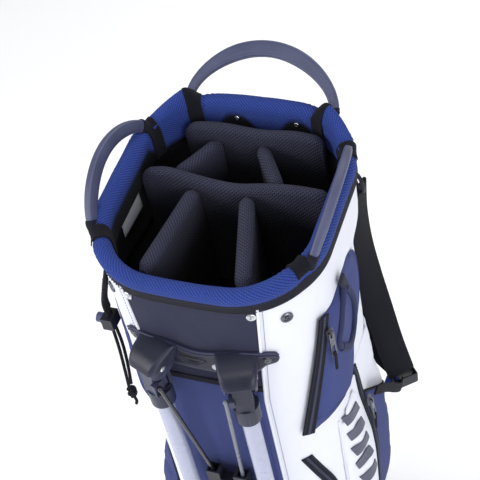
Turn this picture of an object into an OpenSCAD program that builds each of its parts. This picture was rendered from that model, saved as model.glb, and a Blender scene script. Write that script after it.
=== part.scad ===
// Golf stand bag: a padded seven-way top on a moulded cuff, an oval fabric body, a two-leg stand
// worked by a tilting foot plate, pockets with zips, a carrying strap on each side and an umbrella cord.
// Units are millimetres. +Z is up, -Y is the side with the legs, and the foot plate stands on z = 0.

/* [Body] */
// Height of the rim's middle above the ground
rim_z = 820; // [760:5:860]
// Width of the body across X
body_w = 228; // [220:1:236]
// Depth of the body along Y
body_d = 232; // [224:1:240]
// Radius of the body's four corners
corner_r = 76; // [70:1:84]
// Tilt of the rim, which is higher at the back
rim_tilt = 4.8; // [3:0.1:6]

/* [Stand] */
// Angle of each leg's swing plane from straight ahead
splay = 22; // [18:1:26]
// Distance of each leg from the middle plane
leg_x = 46; // [44:1:50]
// Distance of each leg in front of the body's axis
leg_y = 134; // [134:1:138]
// Height of the leg pivots
pivot_z = 710; // [690:5:720]
// Outer radius of the leg tubes
leg_r = 9; // [8:0.5:9]

/* [Hidden] */
$fn = 48;

skin = 2;               // thickness of the outer fabric panels
tube_wall = 3;          // thickness of the foam-backed lining tube
gap = 0.3;              // clearance between soft neighbours
base_top = 64;          // height of the moulded base's upper edge
tube_low = 42;          // where the lining tube stands in the base
skirt_low = 752;        // where the cuff's skirt meets the lining tube
yoke_low = 668;         // lower edge of the charcoal yoke
seam_x = 69;            // seams between the front, side and back panels
front_y = -body_d / 2;  // the body's front face
back_y = body_d / 2;
side_x = body_w / 2;
corner_x = side_x - corner_r;   // centre of the rear right corner's arc
corner_y = back_y - corner_r;
hinge_y = -58;          // axis of the foot plate's hinge
hinge_z = 8;
run = 0.05;             // radial clearance of a running fit
rod_r = 2.2;
divider_t = 11;         // thickness of a padded divider
rod_y = front_y - 13;   // line of the push rod in front of the body
coupler_z = 498;        // middle of the coupler

// ---------- helpers ----------

// Rounded rectangle of the body's section, grown by d, with exact arcs at its corners.
module section(d = 0) {
    w = body_w + 2 * d;
    l = body_d + 2 * d;
    r = corner_r + d;
    union() {
        square([w - 2 * r, l], center = true);
        square([w, l - 2 * r], center = true);
        for (x = [-1, 1], y = [-1, 1])
            translate([x * (w / 2 - r), y * (l / 2 - r)]) circle(r);
    }
}

// Wall between two growths of the section, from z0 to z1.
module ring(inner, outer, z0, z1) {
    translate([0, 0, z0]) linear_extrude(z1 - z0) difference() {
        section(outer);
        section(inner);
    }
}

// The rim's tilted frame: z = 0 is the middle of the rim.
module at_rim() {
    translate([0, 0, rim_z]) rotate([rim_tilt, 0, 0]) children();
}

// Everything below the rim's tilted plane at height h.
module below_rim(h) {
    at_rim() translate([-300, -300, h - 1200]) cube([600, 600, 1200]);
}

// A leg's own frame: origin at the pivot, -Y pointing outward in the swing plane. side is 1 on the right.
module at_leg(side) {
    translate([side * leg_x, -leg_y, pivot_z]) rotate([0, 0, side * splay]) children();
}

function unit(v) = v / norm(v);

// Smooth curve through points, with n steps between neighbours.
function spline(p, n = 6) = let (m = len(p) - 1) [
    for (i = [0:m - 1], k = [0:n - 1])
        let (a = p[max(i - 1, 0)], b = p[i], c = p[i + 1], d = p[min(i + 2, m)], t = k / n)
            0.5 * (2 * b + (c - a) * t + (2 * a - 5 * b + 4 * c - d) * t * t
                + (3 * b - a - 3 * c + d) * t * t * t),
    p[m]
];

// Superellipse section of a bar, w wide and h thick, with n points.
function bar_section(w, h, n = 12, e = 0.6) = [
    for (i = [0:n - 1]) let (a = 360 * (i + 0.5) / n, c = cos(a), s = sin(a))
        [w / 2 * sign(c) * pow(abs(c), e), h / 2 * sign(s) * pow(abs(s), e)]
];

// Flat webbing section, w wide and t thick.
function flat_section(w, t) = [[w / 2, t / 2], [-w / 2, t / 2], [-w / 2, -t / 2], [w / 2, -t / 2]];

// Sweeps a section along a path. The section's x follows the direction wide, one for each point.
module sweep(path, shape, wide) {
    n = len(path);
    m = len(shape);
    rings = [
        for (i = [0:n - 1])
            let (t = unit(path[min(i + 1, n - 1)] - path[max(i - 1, 0)]),
                w0 = is_list(wide[0]) ? wide[i] : wide,
                s = unit(w0 - t * (w0 * t)), u = cross(t, s))
                for (q = shape) path[i] + s * q[0] + u * q[1]
    ];
    faces = [
        [for (j = [0:m - 1]) j],
        for (i = [0:n - 2], j = [0:m - 1]) let (k = (j + 1) % m)
            each [[i * m + j, (i + 1) * m + j, (i + 1) * m + k], [i * m + j, (i + 1) * m + k, i * m + k]],
        [for (j = [m - 1:-1:0]) (n - 1) * m + j]
    ];
    polyhedron(rings, faces, convexity = 10);
}

// Rounded slab outline for pocket faces, on the plane across X.
module side_slab(y0, y1, z0, z1, r, x0, x1) {
    translate([x0, 0, 0]) rotate([90, 0, 90]) linear_extrude(x1 - x0) union() {
        translate([y0 + r, z0]) square([y1 - y0 - 2 * r, z1 - z0]);
        translate([y0, z0 + r]) square([y1 - y0, z1 - z0 - 2 * r]);
        for (y = [y0 + r, y1 - r], z = [z0 + r, z1 - r]) translate([y, z]) circle(r);
    }
}

// ---------- body ----------

module body_tube() {
    color("#15151b") ring(-skin - tube_wall, -skin, tube_low, skirt_low - gap);
}

module cuff_frame() {
    color("#24252d") intersection() {
        ring(-skin - tube_wall, -skin, skirt_low, rim_z + 40);
        below_rim(-4);
    }
}

// Rounded roll over the cuff's edge, with an inner flap that hangs beside the upright cuff.
module rim_pad() {
    color("#2c45a0") difference() {
        union() {
            at_rim() {
                translate([0, 0, -6]) linear_extrude(10) difference() {
                    section(3.5);
                    section(-13);
                }
                translate([0, 0, 4]) linear_extrude(3) difference() {
                    section(1.5);
                    section(-11);
                }
            }
            intersection() {
                at_rim() translate([0, 0, -34]) linear_extrude(28) difference() {
                    section(0);
                    section(-12);
                }
                linear_extrude(rim_z + 100) section(-5.6);
            }
        }
        // groove for the cuff's edge
        intersection() {
            ring(-5.4, 0.4, skirt_low, rim_z + 40);
            below_rim(-3.6);
        }
    }
}

module rim_trim() {
    color("#14151c") at_rim() translate([0, 0, -22]) linear_extrude(15.6) difference() {
        section(3.4);
        section(0.6);
    }
}

// Raised pads over the two rear corners of the rim, between the side handles and the back handle.
wing_top = 26;
wing_from = 37;         // where a wing begins and ends round the corner's arc
wing_to = 63;

module rim_wings() {
    color("#2c45a0") for (m = [0, 1]) mirror([m, 0, 0]) at_rim() translate([corner_x, corner_y, 7.3])
        linear_extrude(wing_top - 7.3) intersection() {
            difference() {
                circle(corner_r + 2);
                circle(corner_r - 11);
            }
            polygon([[0, 0], 150 * [cos(wing_from), sin(wing_from)], 150 * [cos(wing_to), sin(wing_to)]]);
        }
}

// ---------- handles ----------

side_ends = [[112, -70, 812], [112, 64, 828]];
back_ends = [[-79, 110, 831], [81, 110, 831]];
side_rise = [12, 0, 44];
back_rise = [0, 42, 42];

// Arch between two ends that rises along lift, with a flattened top for a small power.
function arch(ends, lift, power, n = 22) = [
    for (i = [0:n]) let (s = i / n)
        ends[0] + (ends[1] - ends[0]) * s + lift * pow(sin(180 * s), power)
];

module handle(ends, lift, power, wide) {
    color("#4a4b63") sweep(arch(ends, lift, power), bar_section(20, 12), wide);
}

module handle_right() {
    difference() {
        handle(side_ends, side_rise, 0.75, [0.35, 0, 1]);
        below_rim(8);
    }
}

module handle_left() {
    mirror([1, 0, 0]) handle_right();
}

module handle_back() {
    difference() {
        handle(back_ends, back_rise, 0.6, [0, 0.7, 0.7]);
        below_rim(8);
    }
}

// Elastic bands over the rim beside the handles' ends, each at an angle round a corner's arc.
rear_wraps = [30, 76];
front_wraps = [-30];

module wrap_block(y, turn) {
    translate([corner_x, y, 7.3]) rotate([0, 0, turn]) translate([corner_r - 14, -7, 0]) cube([17, 14, 2.3]);
}

module handle_wraps() {
    color("#191a22") for (m = [0, 1]) mirror([m, 0, 0]) at_rim() {
        for (turn = rear_wraps) wrap_block(corner_y, turn);
        for (turn = front_wraps) wrap_block(-corner_y, turn);
    }
}

// ---------- dividers ----------

divider_depth = 150;    // how far the padded dividers reach down

// Padded wall between two points in plan, with a rounded top edge. The rims dip in the middle by sag.
module divider(a, b, top) {
    v = b - a;
    len_ab = norm(v);
    turn = atan2(v[1], v[0]);
    color("#262730") translate([a[0], a[1], 0]) rotate([0, 0, turn]) {
        translate([0, -divider_t / 2, top - divider_depth]) cube([len_ab, divider_t, divider_depth - divider_t / 2]);
        translate([0, 0, top - divider_t / 2]) rotate([0, 90, 0]) cylinder(h = len_ab, r = divider_t / 2);
    }
}

inner_x = side_x - 15.5;    // faces of the rim pad's inner flap
inner_y = body_d / 2 - 15.5;
rear_y = 85;                // middle line of the rear divider
middle_y = 22;              // and of the long middle one
cross_gap = divider_t / 2 + gap;
rear_half = 72;             // half length of the rear divider
// Ends of the short dividers, left pair then right pair.
rear_split = [[-38, rear_y - cross_gap], [-68, middle_y + cross_gap],
    [8, rear_y - cross_gap], [44, middle_y + cross_gap]];
front_split = [[-42, middle_y - cross_gap], [-50, -inner_y + 4],
    [14, middle_y - cross_gap], [50, -inner_y + 4]];

module divider_rear() {
    divider([-rear_half, rear_y], [rear_half, rear_y], rim_z + 1);
}

module divider_middle() {
    divider([-inner_x + 1, middle_y], [inner_x - 1, middle_y], rim_z - 5);
}

// A short divider is a slanted prism cut square to its long neighbours.
module short_divider(a, b, top) {
    color("#262730") intersection() {
        divider(a + (a - b) * 0.15, b + (b - a) * 0.15, top);
        translate([-200, min(a[1], b[1]), 0]) cube([400, abs(a[1] - b[1]), 1000]);
    }
}

module divider_rear_left() { short_divider(rear_split[0], rear_split[1], rim_z - 7); }
module divider_rear_right() { short_divider(rear_split[2], rear_split[3], rim_z - 7); }
module divider_front_left() { short_divider(front_split[0], front_split[1], rim_z - 10); }
module divider_front_right() { short_divider(front_split[2], front_split[3], rim_z - 10); }

module frame_stays() {
    color("#8f939c") for (x = [-1, 1]) translate([x * (side_x - 12), -50, tube_low])
        cylinder(h = skirt_low - tube_low - 40, r = 4);
}

// ---------- panels ----------

module panel(z0, region) {
    intersection() {
        ring(-skin + 0.2, 0, z0, rim_z + 30);
        below_rim(-22.5);
        linear_extrude(1000) polygon(region);
    }
}

module yoke_panel() {
    color("#3b3c48") panel(yoke_low, [[-seam_x, 0], [seam_x, 0], [seam_x, -200], [-seam_x, -200]]);
}

module spine_panel() {
    color("#4a548c") intersection() {
        ring(-skin + 0.2, 0, tube_low, yoke_low - gap);
        translate([-seam_x, -200, 0]) cube([2 * seam_x, 200, 1000]);
    }
}

module right_panel() {
    color("#e9ebf4") panel(tube_low, [[seam_x + gap, -200], [200, -200], [200, 200], [seam_x + gap, 200]]);
}

module left_panel() {
    mirror([1, 0, 0]) right_panel();
}

module back_panel() {
    color("#343c6e") panel(tube_low, [[-seam_x, 0], [seam_x, 0], [seam_x, 200], [-seam_x, 200]]);
}

module hip_pad() {
    color("#1a1b22") translate([0, back_y + 0.4, 0]) rotate([-90, 0, 0]) linear_extrude(15) union() {
        translate([-42, -690]) square([84, 260]);
        translate([-55, -677]) square([110, 234]);
        for (x = [-42, 42], z = [-677, -443]) translate([x, z]) circle(13);
    }
}

// ---------- base and foot plate ----------

lug_x = 60;             // inner face of the base's hinge lugs
plate_low = 0.6;        // the foot plate hangs just clear of the ground
plate_top = 5.6;
rear_edge = -50.5;      // where the base's flat sole begins

// Space in front of the sole where the foot plate tilts up.
module plate_room() {
    translate([-200, 0, 0]) rotate([90, 0, 90]) linear_extrude(400)
        polygon([[-66, -1], [-66, 9.5], [-140, 26], [-140, -1]]);
    translate([-lug_x - 7.5, -66.5, -1]) cube([2 * lug_x + 15, rear_edge + 66.5, 16.8]);
}

module hinge_lugs() {
    for (x = [-lug_x - 7, lug_x]) {
        translate([x, hinge_y, hinge_z]) rotate([0, 90, 0]) cylinder(h = 7, r = 6);
        translate([x, hinge_y - 6, hinge_z]) cube([7, 14, 9]);
    }
}

module base_shell() {
    color("#20212a") difference() {
        union() {
            difference() {
                linear_extrude(base_top) section(3.5);
                plate_room();
            }
            hinge_lugs();
        }
        translate([0, 0, tube_low - gap]) linear_extrude(60) section(0.4);
        translate([-lug_x - 8, hinge_y, hinge_z]) rotate([0, 90, 0]) cylinder(h = 2 * lug_x + 16, r = 2.52);
        // shallow moulding recesses under the floor
        for (x = [-70, -24, 24, 70]) translate([x - 18, -36, -1]) cube([36, 112, 4.5]);
    }
}

module hinge_pin() {
    color("#9a9da6") translate([-lug_x - 6.5, hinge_y, hinge_z]) rotate([0, 90, 0])
        cylinder(h = 2 * lug_x + 13, r = 2.5);
}

module foot_plate() {
    color("#16171d") difference() {
        union() {
            intersection() {
                linear_extrude(20) section(2.5);
                translate([-200, 0, 0]) rotate([90, 0, 90]) linear_extrude(400)
                    polygon([[-67, plate_low], [-67, plate_top], [-122, 10], [-122, plate_low]]);
            }
            translate([0.5 - lug_x, -80, plate_low]) cube([2 * lug_x - 1, 80 + hinge_y, plate_top - plate_low]);
            translate([0.5 - lug_x, hinge_y, hinge_z]) rotate([0, 90, 0]) cylinder(h = 2 * lug_x - 1, r = 6.5);
            translate([-16, rod_y - 8, plate_low]) cube([32, 30, plate_top - plate_low]);
        }
        translate([-lug_x, hinge_y, hinge_z]) rotate([0, 90, 0]) cylinder(h = 2 * lug_x, r = 2.5 + run);
        // grip grooves under the plate
        for (y = [-108:10:-78]) translate([-60, y, -1]) cube([120, 4, 2.4]);
    }
}

// ---------- stand ----------

hip_w = 44;
head_w = 27.4;
head_r = 11;
head_room = 2;          // space round a leg's head in its hood

// Hood over the leg's head, with a cheek on each side. Trimmed by the body's surface behind it.
module hip(side) {
    difference() {
        at_leg(side) difference() {
            rotate([90, 0, 90]) translate([0, 0, -hip_w / 2]) linear_extrude(hip_w)
                polygon([[40, 26], [-4, 26], [-14, 19], [-17, 10], [-17, 1], [-12, -12], [12, -16], [40, -14]]);
            rotate([0, 90, 0]) cylinder(h = head_w + 0.6, r = head_r + head_room, center = true);
            translate([-head_w / 2 - 0.3, -40, -60]) cube([head_w + 0.6, 40 + head_r + head_room, 61.5]);
            rotate([0, 90, 0]) cylinder(h = 100, r = 3.02, center = true);
        }
        translate([0, 0, 600]) linear_extrude(200) section(4);
        translate([side * screw_x, front_y - 4.2, screw_z]) rotate([90, 0, 0]) cylinder(h = 20, r = screw_head + 0.5);
    }
}

module bracket_band() {
    intersection() {
        ring(gap, 4.2, pivot_z - 30, pivot_z + 30);
        translate([0, 0, pivot_z]) rotate([90, 0, 0]) linear_extrude(200)
            polygon([[-84, 6], [-84, 20], [-70, 24], [-30, 22], [0, 12], [30, 22], [70, 24], [84, 20],
                [84, 6], [66, 2], [62, -16], [30, -22], [0, -26], [-30, -22], [-62, -16], [-66, 2]]);
    }
}

module stand_bracket() {
    color("#30313c") difference() {
        union() {
            bracket_band();
            hip(1);
            hip(-1);
        }
        // two slots and four screw holes
        translate([-14, front_y - 10, pivot_z + 2]) cube([26, 20, 2.4]);
        translate([-8, front_y - 10, pivot_z - 6]) cube([14, 20, 2.4]);
        for (x = [-screw_x, screw_x]) translate([x, front_y + 2, screw_z]) rotate([90, 0, 0]) cylinder(h = 20, r = 1.6);
        for (s = [-1, 1]) translate([s * ear_x, ear_y, ear_z]) rotate([90, 0, s * ear_turn])
            cylinder(h = 20, r = 1.6, center = true);
    }
}

module screw(head_r, head_t, shank) {
    cylinder(h = head_t, r = head_r);
    translate([0, 0, -shank]) cylinder(h = shank + 0.1, r = 1.5);
}

screw_x = 19;               // the two inner screws
screw_z = pivot_z - 10;
screw_head = 4.2;
ear_turn = 28;              // the ears' screws stand square to the corner's arc
ear_x = corner_x + (corner_r + 2) * sin(ear_turn);
ear_y = -corner_y - (corner_r + 2) * cos(ear_turn);
ear_z = pivot_z + 15;

module bracket_screws() {
    color("#c9cbd2") {
        for (x = [-screw_x, screw_x]) translate([x, front_y - 4.3, screw_z]) rotate([90, 0, 0]) screw(screw_head, 2.4, 3.6);
        for (s = [-1, 1]) translate([s * ear_x, ear_y, ear_z]) rotate([90, 0, s * ear_turn])
            translate([0, 0, 2.4]) screw(3.8, 2, 3.6);
    }
}

module pivot_pins() {
    color("#b9bbc4") for (side = [-1, 1]) at_leg(side) rotate([0, 90, 0]) {
        cylinder(h = hip_w + 1, r = 3, center = true);
        for (s = [-1, 1]) translate([0, 0, s * (hip_w / 2 + 1.2)]) cylinder(h = 2, r = 5, center = true);
    }
}

cap_low = -62;
attach = [-16.7, -10, -22];     // rod's eye in the right leg's frame, inward and outward of the pivot

// Leg cap: head on the pivot, ribbed neck and socket for the tube.
module leg_cap(side) {
    color("#2c2d37") at_leg(side) difference() {
        union() {
            rotate([0, 90, 0]) cylinder(h = head_w, r = head_r, center = true);
            rotate([90, 0, 90]) translate([0, 0, -9]) linear_extrude(18)
                polygon([[-head_r, 0], [head_r, 0], [11.5, -42], [-11.5, -42]]);
            translate([0, 0, cap_low]) cylinder(h = 22, r = 13);
            translate([side > 0 ? -13.7 : 8, attach[1] - 4.5, attach[2] - 4.5]) cube([5.7, 11, 9]);
        }
        rotate([0, 90, 0]) cylinder(h = 60, r = 3 + run, center = true);
        translate([0, 0, cap_low - 1]) cylinder(h = 20, r = leg_r + 0.05);
        for (s = [-1, 1]) translate([s * 9 - 2.5, 1, -38]) cube([5, 6, 22]);
        translate([-side * 20, attach[1], attach[2]]) rotate([0, side * 90, 0]) cylinder(h = 12, r = 1.5 + run);
    }
}

module leg_cap_left() { leg_cap(-1); }
module leg_cap_right() { leg_cap(1); }

tube_top = cap_low + 18.8;
tube_bottom = -620;

module leg_tube(side) {
    color("#dfe1ec") at_leg(side) translate([0, 0, tube_bottom]) difference() {
        cylinder(h = tube_top - tube_bottom, r = leg_r);
        translate([0, 0, -1]) cylinder(h = tube_top - tube_bottom + 2, r = leg_r - 1.4);
    }
}

module leg_tube_left() { leg_tube(-1); }
module leg_tube_right() { leg_tube(1); }

module leg_foot(side) {
    color("#17181e") at_leg(side) translate([0, 0, tube_bottom - 14]) difference() {
        union() {
            translate([0, 0, 10]) cylinder(h = 36, r1 = 13, r2 = 11.5);
            translate([0, 0, 10]) sphere(r = 13);
        }
        translate([0, 0, 14]) cylinder(h = 60, r = leg_r + 0.05);
        translate([-20, -20, -20]) cube([40, 40, 20]);
    }
}

module leg_foot_left() { leg_foot(-1); }
module leg_foot_right() { leg_foot(1); }

// V-shaped actuator: one rod from each leg cap down to the coupler.
coupler_half = 23;      // half width of the coupler
rod_x = 16.5;           // the rods' lower ends
pocket_half = 4.8;      // half width of the coupler's rod pockets
ball_r = 2.9;           // ball ends of the rods
rod_low = [rod_x, rod_y, coupler_z + 14];

function leg_point(side, p) = [
    side * leg_x + p[0] * cos(side * splay) - p[1] * sin(side * splay),
    -leg_y + p[0] * sin(side * splay) + p[1] * cos(side * splay),
    pivot_z + p[2]
];

// A round bar between two points.
module bar(a, b, r) {
    v = b - a;
    translate(a) rotate([0, acos(v[2] / norm(v)), atan2(v[1], v[0])]) cylinder(h = norm(v), r = r);
}

module rod(side) {
    eye = [side * attach[0], attach[1], attach[2]];
    top = leg_point(side, eye);
    low = [side * rod_low[0], rod_low[1], rod_low[2]];
    color("#3a3b45") union() {
        bar(low, top, rod_r);
        at_leg(side) translate(eye) {
            sphere(r = ball_r);
            rotate([0, side * 90, 0]) cylinder(h = 8, r = 1.5);
        }
        translate(low) sphere(r = ball_r);
    }
}

module rod_left() { rod(-1); }
module rod_right() { rod(1); }

module coupler() {
    color("#22232b") difference() {
        translate([-coupler_half, rod_y - 7, coupler_z - 18]) cube([2 * coupler_half, 13, 44]);
        // pockets for the ends of the two rods, open above
        for (s = [-1, 1]) translate([s * rod_x - pocket_half, rod_y - 4.8, coupler_z + 9.6])
            cube([2 * pocket_half, 9.6, 60]);
        // window between the two pockets and a bore for the push rod
        translate([-8, rod_y - 20, coupler_z + 14]) cube([16, 40, 20]);
        translate([0, rod_y, coupler_z - 30]) cylinder(h = 34, r = 2.5);
        for (s = [-1, 1]) translate([s * 12 - 5, rod_y - 8, coupler_z - 12]) cube([10, 3, 14]);
    }
}

push_low = plate_top + 0.6;

module push_rod() {
    color("#8c8f98") translate([0, rod_y, push_low]) {
        translate([0, 0, 2.45]) cylinder(h = coupler_z + 3.8 - push_low - 2.45, r = 2.45);
        translate([0, 0, 2.45]) sphere(r = 2.45);
    }
}

module rod_guides() {
    color("#22232b") for (z = [150, 330]) difference() {
        translate([-11, rod_y - 5, z]) cube([22, -gap - rod_y + front_y + 5, 16]);
        translate([0, rod_y, z - 1]) cylinder(h = 20, r = 2.55);
    }
}

// ---------- pockets ----------

// Flat pocket on the side, an outline in Y and Z raised by a thickness over the body's surface.
module side_patch(outline, thick) {
    intersection() {
        translate([0, 0, 500]) linear_extrude(400) difference() {
            section(thick);
            section(gap);
        }
        translate([40, 0, 0]) rotate([90, 0, 90]) linear_extrude(200) polygon(outline);
    }
}

apparel_outline = [
    [-68, 746], [-20, 752], [40, 750], [56, 742], [62, 726], [62, 668], [54, 640], [30, 616],
    [-10, 603], [-52, 597], [-84, 583], [-99, 580]
];
apparel_t = 6.5;

module apparel_pocket() {
    color("#4a548c") side_patch(apparel_outline, apparel_t);
}

// Bulging pocket: a profile in X and Z, rounded in Y, cut back to the body's surface.
module bulge_pocket(profile, y0, y1, z0, z1, grow) {
    difference() {
        intersection() {
            translate([0, 0, z0]) linear_extrude(z1 - z0) section(grow);
            side_slab(y0, y1, z0, z1, 24, 40, 200);
            translate([0, y1, 0]) rotate([90, 0, 0]) linear_extrude(y1 - y0) polygon(profile);
        }
        translate([0, 0, z0 - 1]) linear_extrude(z1 - z0 + 2) section(gap);
    }
}

ball_profile = [[60, 288], [116, 288], [122, 300], [126, 340], [127, 400], [126, 440], [116, 572], [60, 572]];
cooler_profile = [[60, 168], [124, 168], [140, 184], [147, 220], [147, 330], [114, 460], [60, 460]];

module ball_pocket() {
    color("#e4e6f0") bulge_pocket(ball_profile, -72, 84, 288, 572, 14);
}

module left_pockets() {
    color("#4a548c") mirror([1, 0, 0]) {
        side_patch(apparel_outline, apparel_t);
        bulge_pocket(cooler_profile, -76, 80, 168, 456, 34);
    }
}

// Zip slider at a point on a pocket's face, turned to face outward, and the pull that hangs from it.
module zip_slider(z) {
    color("#8f929b") translate(z[0]) rotate([0, 0, z[1]]) rotate([z[2], 0, 0]) {
        translate([-4, -3, -6]) cube([8, 2.6, 12]);
        translate([-1.2, -6.6, 3.5]) cube([2.4, 3.7, 1.5]);
        translate([-1.2, -6.6, -1]) cube([2.4, 1.4, 6]);
    }
}

module zip_pull(z) {
    color("#a6a9b2") translate(z[0]) rotate([0, 0, z[1]]) rotate([z[2], 0, 0]) difference() {
        union() {
            translate([-3.4, -4.8, -30]) cube([6.8, 1.4, 32.5]);
            translate([-3.4, -4.1, 2.5]) rotate([0, 90, 0]) cylinder(h = 6.8, r = 0.8);
        }
        translate([-1.9, -8, -4]) cube([3.8, 8, 6]);
        translate([-1.7, -8, -27]) cube([3.4, 8, 12]);
    }
}

// Each zip: the slider's place, its turn about Z and its lean.
apparel_zip = [[116.4, -72.2, 722], 62, 0];
ball_zip = [[120.3, -3.5, 520], 90, -4.3];
cooler_zip = [[-131, 10, 396], -90, -14.2];

module apparel_slider() { zip_slider(apparel_zip); }
module apparel_pull() { zip_pull(apparel_zip); }
module ball_slider() { zip_slider(ball_zip); }
module ball_pull() { zip_pull(ball_zip); }
module left_slider() { zip_slider(cooler_zip); }
module left_pull() { zip_pull(cooler_zip); }

// ---------- straps ----------

strap_w = 30;
strap_path = spline([[114, 84, 755], [112, 93, 700], [112, 101, 650], [114, 104, 600], [118.5, 102, 545],
    [123.5, 99, 490], [130, 97.5, 440]], 4);
// The strap turns from the corner's side to face half forward.
strap_wide = spline([[0.1, 1, 0], [0.2, 1, 0], [0.4, 0.9, 0], [0.6, 0.8, 0], [0.75, 0.66, 0],
    [0.75, 0.66, 0], [0.75, 0.66, 0]], 4);
tail_path = spline([[131.5, 97, 402], [134, 86, 410], [136.5, 72, 428], [135.5, 52, 454], [131.5, 30, 484],
    [128, 13, 507]], 3);
link_path = spline([[64, 119.5, 600], [76, 118, 592], [88, 116, 577], [97, 114, 560], [103, 111.5, 545]], 4);
buckle_at = [131, 98, 428];
buckle_turn = -48.7;        // turns the buckle square to the strap
buckle_half = 15.5;

module strap_side() {
    color("#1b1c23") sweep(strap_path, flat_section(strap_w, 7), strap_wide);
}

module strap_right() { strap_side(); }
module strap_left() { mirror([1, 0, 0]) strap_side(); }

module strap_buckles() {
    color("#101116") for (m = [0, 1]) mirror([m, 0, 0]) translate(buckle_at) rotate([0, 0, buckle_turn])
        difference() {
            translate([-6, -buckle_half, -8.5]) cube([12, 2 * buckle_half, 17]);
            translate([-3.9, 3.2 - buckle_half, -12]) cube([7.8, 2 * buckle_half - 6.4, 24]);
        }
}

module strap_tails() {
    color("#23242c") for (m = [0, 1]) mirror([m, 0, 0]) sweep(tail_path, flat_section(22, 3), [0.1, 0.2, 1]);
}

module strap_links() {
    color("#1b1c23") for (m = [0, 1]) mirror([m, 0, 0]) sweep(link_path, flat_section(30, 3), [0, 0, 1]);
}

// Rings that stand out of the rear corners, square to the arc.
ring_turn = 29;
ring_r = 10;
ring_out = corner_r + ring_r + 0.6;

module strap_rings() {
    color("#191a20") for (m = [0, 1]) mirror([m, 0, 0]) translate([corner_x, corner_y, 768]) rotate([0, 0, ring_turn])
        translate([ring_out, 0, 0]) rotate([90, 0, 0]) difference() {
            cylinder(h = 6, r = ring_r, center = true);
            cylinder(h = 8, r = ring_r - 4, center = true);
        }
}

// ---------- umbrella cord ----------

cord_d = 3.6;
cord_x = -122;
cord_y = -76;
cord_front = spline([[cord_x, cord_y - 3, 703], [cord_x, cord_y - 3, 690], [cord_x, cord_y - 3, 670],
    [cord_x, cord_y - 4.5, 640], [cord_x, cord_y - 8, 610], [cord_x, cord_y - 12, 580]], 4);
cord_rear = spline([[cord_x, cord_y + 3, 703], [cord_x, cord_y + 3, 690], [cord_x, cord_y + 3, 670],
    [cord_x, cord_y + 3.5, 640], [cord_x, cord_y + 0, 610], [cord_x, cord_y - 6.5, 580]], 4);
lock_z = 684;

module umbrella_loop() {
    color("#1d1e26") translate([cord_x, cord_y, 0]) difference() {
        union() {
            translate([-1.5, -6.5, 700]) cube([3, 13, 22]);
            translate([-1.5, -5, 719]) rotate([0, 14, 0]) cube([3, 10, 56]);
        }
        translate([0, 0, 600]) linear_extrude(200) translate([-cord_x, -cord_y]) section(gap);
    }
}

module umbrella_cord() {
    color("#0f1015") for (path = [cord_front, cord_rear]) sweep(path, bar_section(cord_d, cord_d, 8, 1), [0, 1, 0]);
}

module cord_lock() {
    color("#1b1c22") translate([cord_x, cord_y, lock_z]) difference() {
        translate([-7, -9, -8]) cube([12.4, 18, 16]);
        for (y = [-3, 3]) translate([0, y, -10]) cylinder(h = 20, r = cord_d / 2 + 0.3);
        translate([-9, 0, 0]) rotate([0, 90, 0]) cylinder(h = 6, r = 5.7);
    }
}

module cord_button() {
    color("#2a2d45") translate([cord_x - 6.4, cord_y, lock_z]) rotate([0, -90, 0]) {
        translate([0, 0, -0.2]) cylinder(h = 9, r = 5.5);
    }
}

module cord_knot() {
    color("#0f1015") translate([cord_x, cord_y - 9.5, 570]) sphere(r = 9);
}

// ---------- rivets ----------

// A rivet on the body's surface, at an angle round a front or rear corner.
module rivet_at(turn, z, r, front) {
    y = front ? -corner_y : corner_y;
    translate([corner_x, y, z]) rotate([90, 0, front ? turn : 180 - turn])
        translate([0, 0, corner_r + (front ? 0 : 3.8)]) cylinder(h = 2, r = r);
}

module rivets() {
    color("#cfd1d8") for (m = [0, 1]) mirror([m, 0, 0]) {
        rivet_at(42, 768, 5.5, true);
        rivet_at(8, 783, 4, true);
        translate([60, back_y + 0.3, 790]) rotate([-90, 0, 0]) cylinder(h = 2, r = 4.5);
    }
}

// ---------- drawing ----------

body_tube();
cuff_frame();
rim_pad();
rim_wings();
rim_trim();
handle_left();
handle_right();
handle_back();
handle_wraps();
divider_rear();
divider_middle();
divider_rear_left();
divider_rear_right();
divider_front_left();
divider_front_right();
frame_stays();
yoke_panel();
spine_panel();
right_panel();
left_panel();
back_panel();
hip_pad();
base_shell();
hinge_pin();
foot_plate();
stand_bracket();
bracket_screws();
pivot_pins();
leg_cap_left();
leg_cap_right();
leg_tube_left();
leg_tube_right();
leg_foot_left();
leg_foot_right();
rod_left();
rod_right();
coupler();
push_rod();
rod_guides();
apparel_pocket();
apparel_slider();
apparel_pull();
ball_pocket();
ball_slider();
ball_pull();
left_pockets();
left_slider();
left_pull();
strap_rings();
strap_right();
strap_left();
strap_buckles();
strap_tails();
strap_links();
umbrella_loop();
umbrella_cord();
cord_lock();
cord_button();
cord_knot();
rivets();
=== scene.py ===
"""Looks of a golf stand bag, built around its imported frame.

Every length in this script is in millimetres until a mesh is made, where it becomes metres. u is the
arc length round the body from the middle of its front, positive towards +X, and z is the height.
"""

import math

import bmesh
import bpy
import numpy as np
from mathutils import Matrix, Vector, noise
from mathutils.bvhtree import BVHTree


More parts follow.
